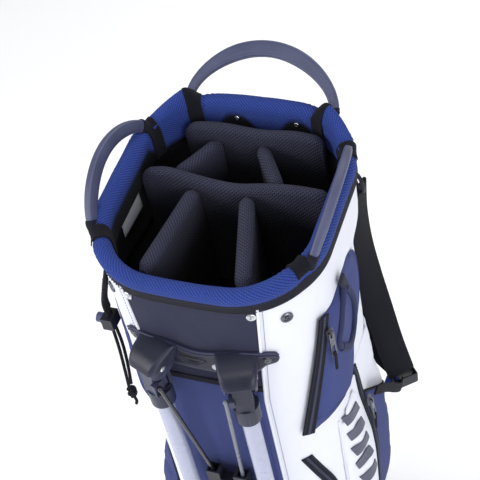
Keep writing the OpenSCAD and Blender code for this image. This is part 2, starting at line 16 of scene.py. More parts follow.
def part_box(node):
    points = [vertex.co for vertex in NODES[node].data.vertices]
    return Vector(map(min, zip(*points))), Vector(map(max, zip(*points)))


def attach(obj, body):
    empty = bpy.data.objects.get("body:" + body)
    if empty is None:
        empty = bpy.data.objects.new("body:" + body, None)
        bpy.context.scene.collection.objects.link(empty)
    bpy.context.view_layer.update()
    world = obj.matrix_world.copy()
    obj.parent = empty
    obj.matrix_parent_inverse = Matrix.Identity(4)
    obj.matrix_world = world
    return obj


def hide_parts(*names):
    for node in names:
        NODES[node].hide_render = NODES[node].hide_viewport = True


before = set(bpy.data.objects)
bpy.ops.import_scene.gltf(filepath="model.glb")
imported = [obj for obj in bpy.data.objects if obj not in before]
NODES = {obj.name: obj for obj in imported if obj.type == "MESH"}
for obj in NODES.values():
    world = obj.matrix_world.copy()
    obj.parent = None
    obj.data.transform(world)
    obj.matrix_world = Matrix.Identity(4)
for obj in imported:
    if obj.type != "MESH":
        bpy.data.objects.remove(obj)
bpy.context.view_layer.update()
MM = 0.001


def corners(node):
    """Lowest and highest corner of a CAD node, in millimetres."""
    low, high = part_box(node)
    return np.array(low) / MM, np.array(high) / MM


# ---------- driving dimensions ----------

side_x = corners("right_panel")[1][0]
back_y = corners("back_panel")[1][1]
corner_r = 76.0
corner_x = side_x - corner_r
corner_y = back_y - corner_r
rim_z = 820.0
tilt = math.radians(4.8)
arc = math.pi / 2 * corner_r
straight = 2 * corner_y
perimeter = 4 * (corner_x + arc + corner_y)
body_low = corners("back_panel")[0][2]
pivot_z = 710.0
waist_depth = 9.5               # how far the cloth draws in between its stays
leg_x, leg_y = 46.0, 134.0
leg_splay = math.radians(22)
yoke_low = corners("yoke_panel")[0][2]


# ---------- camera, lights and floor ----------


def make_camera():
    """Camera above the bag's front right corner, rolled a little."""
    azimuth, elevation, roll = (math.radians(a) for a in (29.1, 45.7, 12.9))
    distance = 1.151
    aim = Vector((0.005, 0.001, 0.75))
    back = Vector((
        math.sin(azimuth) * math.cos(elevation),
        -math.cos(azimuth) * math.cos(elevation),
        math.sin(elevation),
    ))
    right = Vector((math.cos(azimuth), math.sin(azimuth), 0))
    up = back.cross(right)
    across = right * math.cos(roll) - up * math.sin(roll)
    upward = right * math.sin(roll) + up * math.cos(roll)
    data = bpy.data.cameras.new("camera")
    data.lens = 86.4
    data.sensor_width = 36
    camera = bpy.data.objects.new("camera", data)
    bpy.context.scene.collection.objects.link(camera)
    turn = Matrix((across, upward, back)).transposed().to_4x4()
    camera.matrix_world = Matrix.Translation(aim + back * distance) @ turn
    bpy.context.scene.camera = camera


def make_light(name, place, size, power):
    """Square area light, in metres and watts, that points at the middle of the bag."""
    data = bpy.data.lights.new(name, "AREA")
    data.size = size
    data.energy = power
    light = bpy.data.objects.new(name, data)
    bpy.context.scene.collection.objects.link(light)
    light.location = place
    light.rotation_euler = (Vector(place) - Vector((0, 0, 0.6))).to_track_quat("Z", "Y").to_euler()


def make_studio():
    """Four soft lights and a pale surround."""
    make_light("left", (-2.0, -1.5, 1.7), 1.5, 46)
    make_light("right", (2.1, -1.5, 1.6), 1.5, 40)
    make_light("rear", (0.3, 2.0, 2.6), 1.4, 26)
    make_light("top", (0.1, -0.9, 3.2), 1.0, 16)
    world = bpy.data.worlds.new("studio")
    world.use_nodes = True
    background = world.node_tree.nodes["Background"]
    background.inputs["Color"].default_value = (0.97, 0.98, 1, 1)
    background.inputs["Strength"].default_value = 0.36
    scene = bpy.context.scene
    scene.world = world
    scene.view_settings.view_transform = "Standard"
    scene.view_settings.look = "None"


# ---------- node trees ----------


def srgb(red, green, blue):
    """Linear colour from screen values of 0 to 255."""
    shares = [c / 255 for c in (red, green, blue)]
    return (*[c / 12.92 if c <= 0.04045 else ((c + 0.055) / 1.055) ** 2.4 for c in shares], 1)


def add(tree, kind, *values, out=0, **settings):
    """Adds a node, fills its inputs in order from sockets or plain values, and gives an output."""
    made = tree.nodes.new("ShaderNode" + kind)
    for key, value in settings.items():
        setattr(made, key, value)
    for place, value in enumerate(values):
        if isinstance(value, bpy.types.NodeSocket):
            tree.links.new(value, made.inputs[place])
        elif value is not None:
            made.inputs[place].default_value = value
    return made.outputs[out]


def new_finish(name, **sockets):
    """A material whose even values sit on the shader's own sockets."""
    made = bpy.data.materials.new(name)
    made.use_nodes = True
    shader = made.node_tree.nodes["Principled BSDF"]
    for key, value in sockets.items():
        shader.inputs[key.replace("_", " ").title().replace("Ior", "IOR")].default_value = value
    return made, made.node_tree, shader


def position(tree, weave):
    """Place on the piece in millimetres, along its own weave or in its object's space."""
    if weave:
        source = add(tree, "UVMap", uv_map="weave")
    else:
        source = add(tree, "TexCoord", out=3)
    scaled = tree.nodes.new("ShaderNodeVectorMath")
    scaled.operation = "SCALE"
    scaled.inputs["Scale"].default_value = 1 / MM
    tree.links.new(source, scaled.inputs[0])
    return scaled.outputs[0]


def wave(tree, place, direction, pitch):
    """Sine ridges across a direction, one each pitch."""
    steps = Vector(direction).normalized() * (2 * math.pi / pitch)
    along = add(tree, "VectorMath", place, tuple(steps), operation="DOT_PRODUCT", out=1)
    return math_node(tree, "SINE", along)


def math_node(tree, operation, *values):
    """Output of a maths node on sockets or numbers."""
    return add(tree, "Math", *values, operation=operation)


def mottle(tree, place, size, detail=2.0):
    """Noise from 0 to 1 with spots of about that size."""
    return add(tree, "TexNoise", place, None, 1 / size, detail)


def mix(tree, share, first, second):
    """Colour between two, by a share from 0 to 1."""
    return add(tree, "MixRGB", share, first, second)


def finish_bump(tree, shader, height, depth):
    """Bump from a height of 0 to 1 that stands for a depth in millimetres."""
    bump = tree.nodes.new("ShaderNodeBump")
    bump.inputs["Strength"].default_value = 1.0
    bump.inputs["Distance"].default_value = depth * MM
    tree.links.new(height, bump.inputs["Height"])
    tree.links.new(bump.outputs[0], shader.inputs["Normal"])


def fabric(name, dark, light, pitch, ways, depth=0.35, weave=True, rough=0.85, blotch=0.25, contrast=0.5,
           rib=0.0):
    """Woven or knitted cloth: crossing ridges, flecks of yarn, and soft patches of wear."""
    made, tree, shader = new_finish(name, roughness=rough, sheen_weight=0.03, sheen_roughness=0.45,
                                    specular_ior_level=0.15)
    dark, light = srgb(*dark), srgb(*light)
    place = position(tree, weave)
    first = wave(tree, place, ways[0], pitch)
    second = wave(tree, place, ways[1], pitch)
    crossing = math_node(tree, "MULTIPLY", first, second)
    twill = math_node(tree, "MULTIPLY_ADD", first, rib, math_node(tree, "MULTIPLY", crossing, 1 - rib))
    height = math_node(tree, "MULTIPLY_ADD", twill, 0.5, 0.5)
    fleck = mottle(tree, place, 0.9)
    share = math_node(tree, "ADD", math_node(tree, "MULTIPLY", height, contrast),
                      math_node(tree, "MULTIPLY", fleck, 1 - contrast))
    patches = mottle(tree, place, 38)
    yarn = mix(tree, share, dark, light)
    shaded = mix(tree, math_node(tree, "MULTIPLY", patches, blotch), yarn, dark)
    tree.links.new(shaded, shader.inputs["Base Color"])
    finish_bump(tree, shader, height, depth)
    return made


def darken(finish, dark):
    """Lets a cloth go to a dark colour as painted shade, where its piece stores a shade."""
    tree = finish.node_tree
    socket = tree.nodes["Principled BSDF"].inputs["Base Color"]
    colour = socket.links[0].from_socket
    share = add(tree, "Attribute", attribute_name="shade", out=2)
    tree.links.new(mix(tree, share, colour, srgb(*dark)), socket)


def plastic(name, base, worn_and_highlight, rough=0.45, grain=0.08, coat=0.0):
    """Moulded plastic: fine spark grain, uneven gloss, and edges lighter, partly from wear and partly as a
    painted highlight.
    """
    made, tree, shader = new_finish(name, coat_weight=coat, coat_roughness=0.2, specular_ior_level=0.32)
    base, worn_and_highlight = srgb(*base), srgb(*worn_and_highlight)
    place = position(tree, False)
    patches = mottle(tree, place, 26)
    edge = add(tree, "NewGeometry", out=7)
    # Convex edges go towards the lighter colour, partly wear and partly a painted highlight.
    edge_wear_and_highlight = add(tree, "MapRange", edge, 0.505, 0.56, 0.0, 0.55)
    tint = mix(tree, math_node(tree, "MULTIPLY", patches, 0.3), base, worn_and_highlight)
    tree.links.new(mix(tree, edge_wear_and_highlight, tint, worn_and_highlight), shader.inputs["Base Color"])
    tree.links.new(add(tree, "MapRange", patches, 0.3, 0.7, rough - 0.06, rough + 0.08),
                   shader.inputs["Roughness"])
    finish_bump(tree, shader, mottle(tree, place, 0.45, 1.0), grain)
    return made


def metal(name, base, dull, rough=0.3, brushed=(1, 0, 0)):
    """Plated metal with fine brush lines and smudges."""
    made, tree, shader = new_finish(name, metallic=1.0)
    place = position(tree, False)
    smudge = mottle(tree, place, 7)
    lines = wave(tree, place, brushed, 0.35)
    tree.links.new(mix(tree, smudge, base, dull), shader.inputs["Base Color"])
    tree.links.new(add(tree, "MapRange", smudge, 0.3, 0.7, rough - 0.08, rough + 0.14),
                   shader.inputs["Roughness"])
    finish_bump(tree, shader, lines, 0.01)
    return made


def painted(name, base, shade):
    """Powder-coated tube: a fine texture under a clear coat, and faint scuffs."""
    made, tree, shader = new_finish(name, coat_weight=0.4, coat_roughness=0.15)
    place = position(tree, False)
    scuff = mottle(tree, place, 9, 6.0)
    colour = mix(tree, math_node(tree, "MULTIPLY", scuff, 0.45), srgb(*base), srgb(*shade))
    tree.links.new(colour, shader.inputs["Base Color"])
    tree.links.new(add(tree, "MapRange", scuff, 0.3, 0.7, 0.25, 0.42), shader.inputs["Roughness"])
    finish_bump(tree, shader, mottle(tree, place, 0.8, 1.0), 0.008)
    return made


CROSS = ((1, 0, 0), (0, 1, 0))
SLANT = ((1, 1, 0), (1, -1, 0))
SOLID = ((1, 0.6, 0.3), (0.3, -0.7, 1))

blue_mesh = fabric("blue_mesh", (12, 24, 76), (68, 94, 186), 2.5, SLANT, 1.0, contrast=0.75, rib=0.5)
# Painted shade: blue mesh goes towards near black where a piece stores a shade.
darken(blue_mesh, (6, 7, 14))
charcoal_mesh = fabric("charcoal_mesh", (4, 4, 9), (80, 82, 106), 2.9, SLANT, 1.2, contrast=0.85, rib=0.4)
# Painted shade: charcoal mesh goes towards near black where a piece stores a shade, deeper down the dividers.
darken(charcoal_mesh, (4, 4, 8))
yoke_cloth = fabric("yoke_cloth", (27, 29, 44), (66, 69, 96), 1.1, CROSS, 0.25, contrast=0.3)
navy_cloth = fabric("navy_cloth", (42, 50, 98), (86, 97, 156), 0.9, CROSS, 0.15, contrast=0.35)
navy_soft = fabric("navy_soft", (40, 48, 94), (82, 93, 148), 0.9, SOLID, 0.15, False, contrast=0.35)
white_cloth = fabric("white_cloth", (222, 226, 240), (246, 247, 252), 0.9, CROSS, 0.12, rough=0.6,
                     blotch=0.35, contrast=0.4)
white_soft = fabric("white_soft", (222, 226, 240), (246, 247, 252), 0.9, SOLID, 0.12, False, 0.6,
                    blotch=0.35, contrast=0.4)
grey_lining = fabric("grey_lining", (150, 152, 160), (205, 206, 214), 1.6, CROSS, 0.2)
black_lining = fabric("black_lining", (14, 14, 19), (34, 34, 42), 1.4, CROSS, 0.2, False)
webbing = fabric("webbing", (7, 7, 11), (34, 35, 46), 1.8, CROSS, 0.5, contrast=0.8)
grey_webbing = fabric("grey_webbing", (24, 25, 33), (66, 68, 84), 1.8, CROSS, 0.5, contrast=0.8)
welt_cloth = fabric("welt_cloth", (30, 34, 60), (72, 79, 118), 0.9, CROSS, 0.2, contrast=0.35)
binding = fabric("binding", (12, 12, 19), (42, 43, 57), 1.2, SLANT, 0.3, contrast=0.6)
pad_mesh = fabric("pad_mesh", (9, 9, 14), (44, 45, 57), 3.0, SOLID, 0.7, False, contrast=0.7)
braid = fabric("braid", (9, 9, 13), (40, 40, 50), 1.5, SLANT, 0.4, contrast=0.8)
thread = fabric("thread", (90, 96, 130), (150, 156, 190), 0.5, SLANT, 0.05)
dark_thread = fabric("dark_thread", (30, 31, 40), (84, 86, 104), 0.5, SLANT, 0.05)
print_grey = fabric("print_grey", (70, 72, 88), (108, 110, 128), 0.9, CROSS, 0.05, rough=0.5)
handle_grip = plastic("handle_grip", (54, 57, 82), (118, 122, 158), 0.45, 0.1)
slate_plastic = plastic("slate_plastic", (20, 22, 34), (66, 70, 98), 0.4, 0.08)
black_plastic = plastic("black_plastic", (9, 9, 14), (40, 42, 54), 0.4, 0.1)
rubber = plastic("rubber", (20, 20, 25), (52, 52, 60), 0.75, 0.25)
button_blue = plastic("button_blue", (48, 56, 92), (98, 108, 150), 0.35, 0.05, 0.3)
rod_dark = plastic("rod_dark", (16, 17, 24), (62, 64, 80), 0.3, 0.04, 0.4)
rod_grey = plastic("rod_grey", (84, 87, 102), (140, 144, 160), 0.3, 0.04, 0.4)
white_tube = painted("white_tube", (176, 180, 204), (132, 137, 162))
steel = metal("steel", (0.78, 0.79, 0.82, 1), (0.55, 0.56, 0.6, 1), 0.25)
gunmetal = metal("gunmetal", (0.2, 0.21, 0.24, 1), (0.1, 0.1, 0.12, 1), 0.32, (0, 0, 1))
glass_rod = plastic("glass_rod", (126, 129, 140), (180, 182, 192), 0.28, 0.03, 0.4)


# ---------- surfaces of the body ----------


def around(u, grow=0.0):
    """Points and outward normals, in plan, of the body's section at arc lengths u."""
    wrapped = (np.asarray(u, float) + perimeter / 2) % perimeter - perimeter / 2
    side = np.where(wrapped < 0, -1.0, 1.0)
    a = np.abs(wrapped)
    front_turn = np.clip((a - corner_x) / arc, 0, 1)
    along_side = np.clip(a - corner_x - arc, 0, straight)
    rear_turn = np.clip((a - corner_x - arc - straight) / arc, 0, 1)
    along_back = np.clip(a - corner_x - 2 * arc - straight, 0, corner_x)
    angle = (front_turn + rear_turn - 1) * math.pi / 2
    x = np.minimum(a, corner_x) - along_back + (corner_r + grow) * np.cos(angle)
    y = along_side - corner_y + (corner_r + grow) * np.sin(angle)
    return side * x, y, side * np.cos(angle), np.sin(angle)


def ease(t):
    """Smooth step of a share from 0 to 1."""
    return t * t * (3 - 2 * t)


def from_front(u):
    """Arc length from the middle of the front, whichever way round is shorter."""
    return np.minimum(np.abs(u), perimeter - np.abs(u))


def waist(u, z):
    """How far the sides and rear corners draw in below the cuff, in millimetres."""
    side = from_front(u)
    begins = ease(np.clip((side - 150) / 60, 0, 1))
    ends = ease(np.clip((side - 305) / 40, 0, 1))
    upper = ease(np.clip((762 - z) / 60, 0, 1))
    lower = ease(np.clip((z - 90) / 180, 0, 1))
    return waist_depth * begins * (1 - ends) * upper * lower


def skin(u, z, out=0.0, drawn=True):
    """Points on the upright body, out from its surface."""
    u, z, out = np.broadcast_arrays(np.asarray(u, float), z, out)
    x, y, _, _ = around(u, out - waist(u, z) if drawn else out)
    return np.stack([x, y, np.asarray(z, float)], -1)


def off_body(out, drawn=True):
    """The body's surface, grown outwards, as a function of u and z."""
    return lambda u, z: skin(u, z, out, drawn)


def at_rim(u, out, up):
    """Points in the rim's tilted frame, up from the rim's middle plane."""
    u, out, up = np.broadcast_arrays(np.asarray(u, float), out, up)
    x, y, _, _ = around(u, out)
    return tilted(x, y, up)


def tilted(x, y, up):
    """Points given in the rim's tilted frame, as they are in the bag's."""
    return np.stack([
        x,
        y * math.cos(tilt) - up * math.sin(tilt),
        rim_z + y * math.sin(tilt) + up * math.cos(tilt),
    ], -1)


def rim_height(u, up):
    """Height of the rim's plane, raised by up, over a point of the upright body."""
    return rim_z + around(u)[1] * math.tan(tilt) + up / math.cos(tilt)


def rear_corner(angle):
    """u at an angle round the rear right corner, from 0 on the side to 90 on the back."""
    return corner_x + arc + straight + arc * angle / 90


def front_corner(angle):
    """u at an angle round the front right corner, from -90 on the front to 0 on the side."""
    return corner_x + arc * (90 + angle) / 90


def on_side(y):
    """u on the right side at a place along Y, within the side and its two arcs."""
    y = np.asarray(y, float)
    turn_front = np.arcsin(np.clip((y + corner_y) / corner_r, -1, 0))
    turn_rear = np.arcsin(np.clip((y - corner_y) / corner_r, 0, 1))
    flat = np.clip(y, -corner_y, corner_y) + corner_y
    return corner_x + arc + flat + (turn_front + turn_rear) * corner_r


def ripple(u, z, reach_u, reach_z, seed):
    """Smooth noise of about -1 to 1 over the surface."""
    u, z = np.broadcast_arrays(u, z)
    flat = [noise.noise(Vector((a / reach_u, b / reach_z, seed))) for a, b in zip(u.ravel(), z.ravel())]
    return np.array(flat).reshape(u.shape)


def spline(points, steps=6):
    """Smooth curve through points, with a number of steps between neighbours."""
    p = np.asarray(points, float)
    last = len(p) - 1
    made = []
    for i in range(last):
        a, b, c, d = p[max(i - 1, 0)], p[i], p[i + 1], p[min(i + 2, last)]
        for k in range(steps):
            t = k / steps
            made.append(0.5 * (2 * b + (c - a) * t + (2 * a - 5 * b + 4 * c - d) * t * t
                               + (3 * b - a - 3 * c + d) * t**3))
    made.append(p[last])
    return np.array(made)


def even(points, step):
    """The same line with its points about one step apart."""
    p = np.asarray(points, float)
    run = lengths(p)
    places = np.linspace(0, run[-1], max(2, int(round(run[-1] / step)) + 1))
    return np.stack([np.interp(places, run, p[:, k]) for k in range(p.shape[1])], -1)


def lengths(path):
    """Length run along a path up to each of its points."""
    return np.concatenate([[0], np.cumsum(np.linalg.norm(np.diff(path, axis=0), axis=1))])


def units(v):
    """Vectors scaled to length 1."""
    return v / np.maximum(np.linalg.norm(v, axis=-1, keepdims=True), 1e-9)


# ---------- making pieces ----------


def make_piece(name, points, faces, finishes, body="bag", uv=None, closed=True):
    """A mesh object that rides on a body, from points in millimetres, with its finishes."""
    finishes = finishes if isinstance(finishes, (list, tuple)) else [finishes]
    mesh = bpy.data.meshes.new(name)
    mesh.from_pydata((np.asarray(points, float).reshape(-1, 3) * MM).tolist(), [], faces)
    if uv is not None:
        layer = mesh.uv_layers.new(name="weave")
        layer.data.foreach_set("uv", (np.asarray(uv, float) * MM).ravel())
    if closed:
        work = bmesh.new()
        work.from_mesh(mesh)
        bmesh.ops.recalc_face_normals(work, faces=work.faces)
        work.to_mesh(mesh)
        work.free()
    for finish in finishes:
        mesh.materials.append(finish)
    mesh.shade_smooth()
    mesh.set_sharp_from_angle(angle=math.radians(48))
    made = bpy.data.objects.new(name, mesh)
    bpy.context.scene.collection.objects.link(made)
    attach(made, body)
    return made


def grid_faces(n, m, ring_u, ring_v, first=0):
    """Quads of an n by m grid of points, and each corner's unwrapped row and column."""
    faces, places = [], []
    for i in range(n if ring_u else n - 1):
        for j in range(m if ring_v else m - 1):
            spots = [(i, j), (i + 1, j), (i + 1, j + 1), (i, j + 1)]
            faces.append([first + (a % n) * m + b % m for a, b in spots])
            places.extend(spots)
    return faces, places


def pair_faces(n, m):
    """Faces of a closed form: an n by m sheet, the same sheet reversed behind it, and the rim between."""
    faces, _ = grid_faces(n, m, False, False)
    back, _ = grid_faces(n, m, False, False, n * m)
    faces.extend(quad[::-1] for quad in back)
    rim = [i * m for i in range(n)] + [(n - 1) * m + j for j in range(1, m)]
    rim += [i * m + m - 1 for i in range(n - 2, -1, -1)] + list(range(m - 2, 0, -1))
    for a, b in zip(rim, rim[1:] + rim[:1]):
        faces.append([b, a, a + n * m, b + n * m])
    return faces


def grid(name, points, finish, ring_u=False, ring_v=False, capped=False, body="bag"):
    """A piece from an n by m grid of points. The weave's coordinates are lengths along the grid."""
    p = np.asarray(points, float)
    n, m = p.shape[:2]
    faces, places = grid_faces(n, m, ring_u, ring_v)
    along = lengths(np.concatenate([p[:, m // 2], p[:1, m // 2]]))
    across = lengths(np.concatenate([p[n // 2], p[n // 2, :1]]))
    uv = [(along[i], across[j]) for i, j in places]
    if capped:
        for i in (0, n - 1):
            faces.append([i * m + j for j in range(m)])
            uv.extend((0.3 * j, 0) for j in range(m))
    return make_piece(name, p, faces, finish, body, uv, closed=ring_v or ring_u)


def bar(name, rings, finish, body="bag"):
    """A closed piece from rings along a path."""
    return grid(name, rings, finish, False, True, True, body)


def sweep(path, shape, wide, scale=None):
    """Rings of a section along a path. The section's first axis follows wide."""
    path = np.asarray(path, float)
    shape = np.asarray(shape, float)
    if shape.ndim == 2:
        shape = np.broadcast_to(shape, (len(path), *shape.shape))
    if scale is not None:
        shape = shape * np.asarray(scale, float)[:, None, None]
    tangent = units(np.gradient(path, axis=0))
    wide = np.broadcast_to(np.asarray(wide, float), path.shape)
    side = units(wide - tangent * np.sum(wide * tangent, -1, keepdims=True))
    up = np.cross(tangent, side)
    return path[:, None] + side[:, None] * shape[..., :1] + up[:, None] * shape[..., 1:]


def oval(wide, thick, count=16, power=0.6):
    """Superellipse section of a bar."""
    a = 2 * np.pi * (np.arange(count) + 0.5) / count
    return np.stack([
        wide / 2 * np.sign(np.cos(a)) * np.abs(np.cos(a)) ** power,
        thick / 2 * np.sign(np.sin(a)) * np.abs(np.sin(a)) ** power,
    ], -1)


def normals_at(surface, u, z):
    """Outward unit normals of a surface given as a function of u and z."""
    step = 1.5
    along = surface(u + step, z) - surface(u - step, z)
    up = surface(u, z + step) - surface(u, z - step)
    return units(np.cross(along, up))


def strip(surface, path, shape):
    """Rings of a section laid along a path of (u, z) on a surface. The section is (across, out)."""
    path = np.asarray(path, float)
    tangent = units(np.gradient(path, axis=0))
    side = np.stack([tangent[:, 1], -tangent[:, 0]], -1)
    rings = []
    for across, out in shape:
        spot = path + side * across
        rings.append(raised(surface, spot[:, 0], spot[:, 1], out))
    return np.stack(rings, 1)


def cord_shape(radius, low=0.0, count=8):
    """Half-sunk round section of a seam cord or piping."""
    a = 2 * np.pi * np.arange(count) / count
    return np.stack([radius * np.cos(a), low + radius * np.sin(a)], -1)


def tape_shape(wide, thick, low=0.2):
    """Flat section with softened edges, lying on a surface."""
    half, soft = wide / 2, min(thick * 0.6, wide * 0.1)
    top = low + thick
    return [(-half, low - 0.8), (half, low - 0.8), (half, top - soft), (half - soft, top),
            (0, top), (soft - half, top), (-half, top - soft)]


def stitches(name, lines, finish=None):
    """Rows of short thread stitches along lines of points, each a small six-sided prism."""
    pitch, thick = 3.6, 0.34
    points, faces, uv = [], [], []
    for line in lines:
        p = even(line, pitch)
        for a, b in zip(p[:-1], p[1:]):
            v = units(b - a)
            side = units(np.cross(v, [0.31, 0.52, 0.8]))
            up = np.cross(v, side)
            start = len(points)
            for share, size in ((0.14, 0.4), (0.3, 1.0), (0.7, 1.0), (0.86, 0.4)):
                for k in range(6):
                    turn = math.pi / 3 * k
                    offset = side * math.cos(turn) + up * math.sin(turn)
                    points.append(a + (b - a) * share + offset * thick * size)
            ring_faces, _ = grid_faces(4, 6, False, True, start)
            faces.extend(ring_faces)
            faces.append([start + k for k in range(6)])
            faces.append([start + 18 + k for k in range(6)])
            uv.extend([(0, 0)] * (4 * len(ring_faces) + 12))
    return make_piece(name, points, faces, finish or dark_thread, uv=uv)


def lathe(centre, axis, profile, count=24):
    """Rings turned about an axis from (radius, height) points."""
    axis = units(np.asarray(axis, float))
    side = units(np.cross(axis, (0.13, 0.21, 0.97)))
    up = np.cross(axis, side)
    a = 2 * np.pi * np.arange(count) / count
    circle = side * np.cos(a)[:, None] + up * np.sin(a)[:, None]
    return np.stack([np.asarray(centre, float) + circle * r + axis * h for r, h in profile])


def on_body(name, u, z, out, profile, finish):
    """Turned piece that stands out from the upright body."""
    x, y, nx, ny = (float(v) for v in around(u, out))
    return grid(name, lathe((x, y, z), (nx, ny, 0), profile), finish, ring_v=True)


def thicken(obj, thick):
    """Gives an open sheet a thickness inwards."""
    sheet = obj.modifiers.new("Solidify", "SOLIDIFY")
    sheet.thickness = thick * MM
    sheet.offset = -1


def bake_modifiers(obj):
    """Leaves the piece with the mesh that its modifiers make."""
    graph = bpy.context.evaluated_depsgraph_get()
    made = bpy.data.meshes.new_from_object(obj.evaluated_get(graph))
    obj.modifiers.clear()
    obj.data = made


def mirrored(points):
    """Points mirrored across X."""
    return np.asarray(points, float) * (-1, 1, 1)


SIDES = (("right", 1), ("left", -1))


def both(points, side):
    """Points as they are on the right, or mirrored across X for the left."""
    return np.asarray(points, float) if side > 0 else mirrored(points)


def dress(node, finish, bevel=0.4, angle=35):
    """Gives a CAD node its finish, and rounds its edges without touching its own vertices."""
    obj = NODES[node]
    obj.data.materials.clear()
    obj.data.materials.append(finish)
    custom = obj.data.attributes.get("custom_normal")
    if custom is not None:
        obj.data.attributes.remove(custom)
    obj.data.shade_smooth()
    weld = obj.modifiers.new("Weld", "WELD")
    weld.merge_threshold = 0.02 * MM
    if bevel:
        edge = obj.modifiers.new("Bevel", "BEVEL")
        edge.width = bevel * MM
        edge.segments = 2
        edge.limit_method = "ANGLE"
        edge.angle_limit = math.radians(angle)
        edge.use_clamp_overlap = True
    even_normals = obj.modifiers.new("WeightedNormal", "WEIGHTED_NORMAL")
    even_normals.keep_sharp = False


# ---------- umbrella cord ----------


def cord_strand(name, points):
    """One of the two strands that hang from the webbing tab, through the lock, to the knot."""
    path = spline(points, 4)
    tube = bar(name, sweep(path, oval(3.6, 3.6, 12, 1.0), (0, 1, 0)), braid)
    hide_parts("umbrella_cord")


def knot_loop(centre, radius, tall, turn, count=40):
    """Closed loop of cord in the knot, as points."""
    a = 2 * np.pi * np.arange(count) / count
    x = radius * np.cos(a)
    z = tall * np.sin(a)
    wobble = 1.3 * np.sin(2 * a + turn)
    flat = np.stack([x * math.cos(turn) - wobble * math.sin(turn),
                     x * math.sin(turn) + wobble * math.cos(turn), z], -1)
    return np.asarray(centre, float) + flat


def make_knot():
    """Turns of cord pulled into a lump, with two loose ends."""
    low, high = corners("cord_knot")
    centre = (low + high) / 2
    points, faces, uv = [], [], []

    def add_cord(rings, closed, pitch):
        start = len(points)
        points.extend(rings.reshape(-1, 3))
        quads, places = grid_faces(len(rings), 8, closed, True, start)
        faces.extend(quads)
        uv.extend((i * pitch, j * 1.5) for i, j in places)
        for i in () if closed else (0, len(rings) - 1):
            faces.append([start + i * 8 + j for j in range(8)])
            uv.extend([(0, 0)] * 8)

    loops = [((0, 0, 2), 3.9, 5.6, 0.2), ((0, 0, -1), 4.2, 4.2, 1.3),
             ((0, 0, 0.5), 4.0, 5.0, 2.4), ((0, 0, -3), 3.6, 3.8, 0.7)]
    for spot, radius, tall, turn in loops:
        line = knot_loop(centre + spot, radius, tall, turn)
        add_cord(sweep(line, oval(3.8, 3.8, 8, 1.0), (0.3, 0.2, 1)), True, 0.8)
    tails = [[(0, 0, -4), (1, -1, -8), (3, -2, -14), (2, -3, -19)],
             [(0, 1, -4), (-2, 2, -9), (-3, 3, -13), (-5, 2, -16)]]
    for tail in tails:
        line = spline(centre + np.array(tail), 4)
        add_cord(sweep(line, oval(3.6, 3.6, 8, 1.0), (0, 1, 0.1)), False, 1.5)
    knot = make_piece("cord_knot_bundle", points, faces, braid, uv=uv)
    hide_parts("cord_knot")
    return knot


def make_tab():
    """Folded webbing that holds the cord, from under the binding down past the cord's exit."""
    line = spline([(-100, -76, 782), (-107.5, -76, 760), (-114.5, -76, 738), (-119.5, -76, 722),
                   (-121.6, -76, 712), (-121.6, -76, 701)], 5)
    tab = bar("umbrella_tab", sweep(line, oval(12, 3, 12, 0.5), (0, 1, 0)), webbing)
    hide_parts("umbrella_loop")
    edge = line[6:] - (1.8, 0, 0)
    stitches("umbrella_tab_stitches", [edge + (0, 4.5, 0), edge + (0, -4.5, 0)])


def make_umbrella_cord():
    """The cord's knot, its two strands and the webbing that holds them."""
    knot = make_knot()
    cord_strand("umbrella_cord_front",
                [(-122, -79, 703), (-122, -79, 690), (-122, -79, 670), (-122, -80.5, 640), (-122, -84, 610),
                 (-122, -88, 580)])
    cord_strand("umbrella_cord_rear",
                [(-122, -73, 703), (-122, -73, 690), (-122, -73, 670), (-122, -72.5, 640), (-122, -76, 610),
                 (-122, -82.5, 580)])
    make_tab()


# ---------- rim ----------

roll_profile = [(3.0, -9), (3.7, -4), (3.6, 0), (2.6, 3.6), (0.4, 6.2), (-3, 7.2), (-6.8, 6.6), (-10, 4.4),
                (-12, 1), (-12.8, -4), (-12.6, -12), (-12.2, -22), (-12, -31), (-10.8, -34), (-8.6, -33.4),
                (-7.4, -28), (-6.4, -16), (-2, -10)]
wrap_places = [front_corner(-30), rear_corner(20), rear_corner(64)]
wrap_wide = 18
front_bow_reach = 112           # length each way from the front over which the rim dips


def roll_points(u, grow=0.0, lump=1.0):
    """Rings of the padded roll over the rim, pinched where the bands hold it."""
    profile = spline(roll_profile + roll_profile[:1], 3)[:-1]
    centre = np.array([-4.6, -1.0])
    side = from_front(u)
    pinch = sum(np.exp(-((side - place) / 9.5) ** 2) for place in wrap_places)
    gathers = sum(np.exp(-((np.abs(side - place) - 16) / 9) ** 2) for place in wrap_places)
    scale = 1.12 - 0.24 * np.clip(pinch, 0, 1)
    puff = 1 + lump * 0.035 * ripple(u, np.zeros_like(u), 26, 1, 4.2)
    offset = profile[None] - centre
    creases = 0.05 * lump * gathers[:, None] * np.sin(u[:, None] * 1.1 + 0.35 * profile[None, :, 1])
    top = np.clip((profile[:, 1] + 14) / 14, 0, 1)[None, :, None]
    offset = offset * (1 + (((scale * puff)[:, None] + creases)[..., None] - 1) * top)
    length = np.linalg.norm(offset, axis=-1, keepdims=True)
    offset = offset * (1 + grow / np.maximum(length, 4))
    spot = offset + centre
    behind = np.cos(np.pi / 2 * np.clip((perimeter / 2 - side) / 70, 0, 1))
    ahead = np.cos(np.pi / 2 * np.clip(side / front_bow_reach, 0, 1))
    bow = (3.0 * behind)[:, None] * top[..., 0] - 5.0 * ahead[:, None]
    jut = (5.2 * ahead)[:, None] * top[..., 0]
    return at_rim(u[:, None], spot[..., 0] + jut, spot[..., 1] + bow)


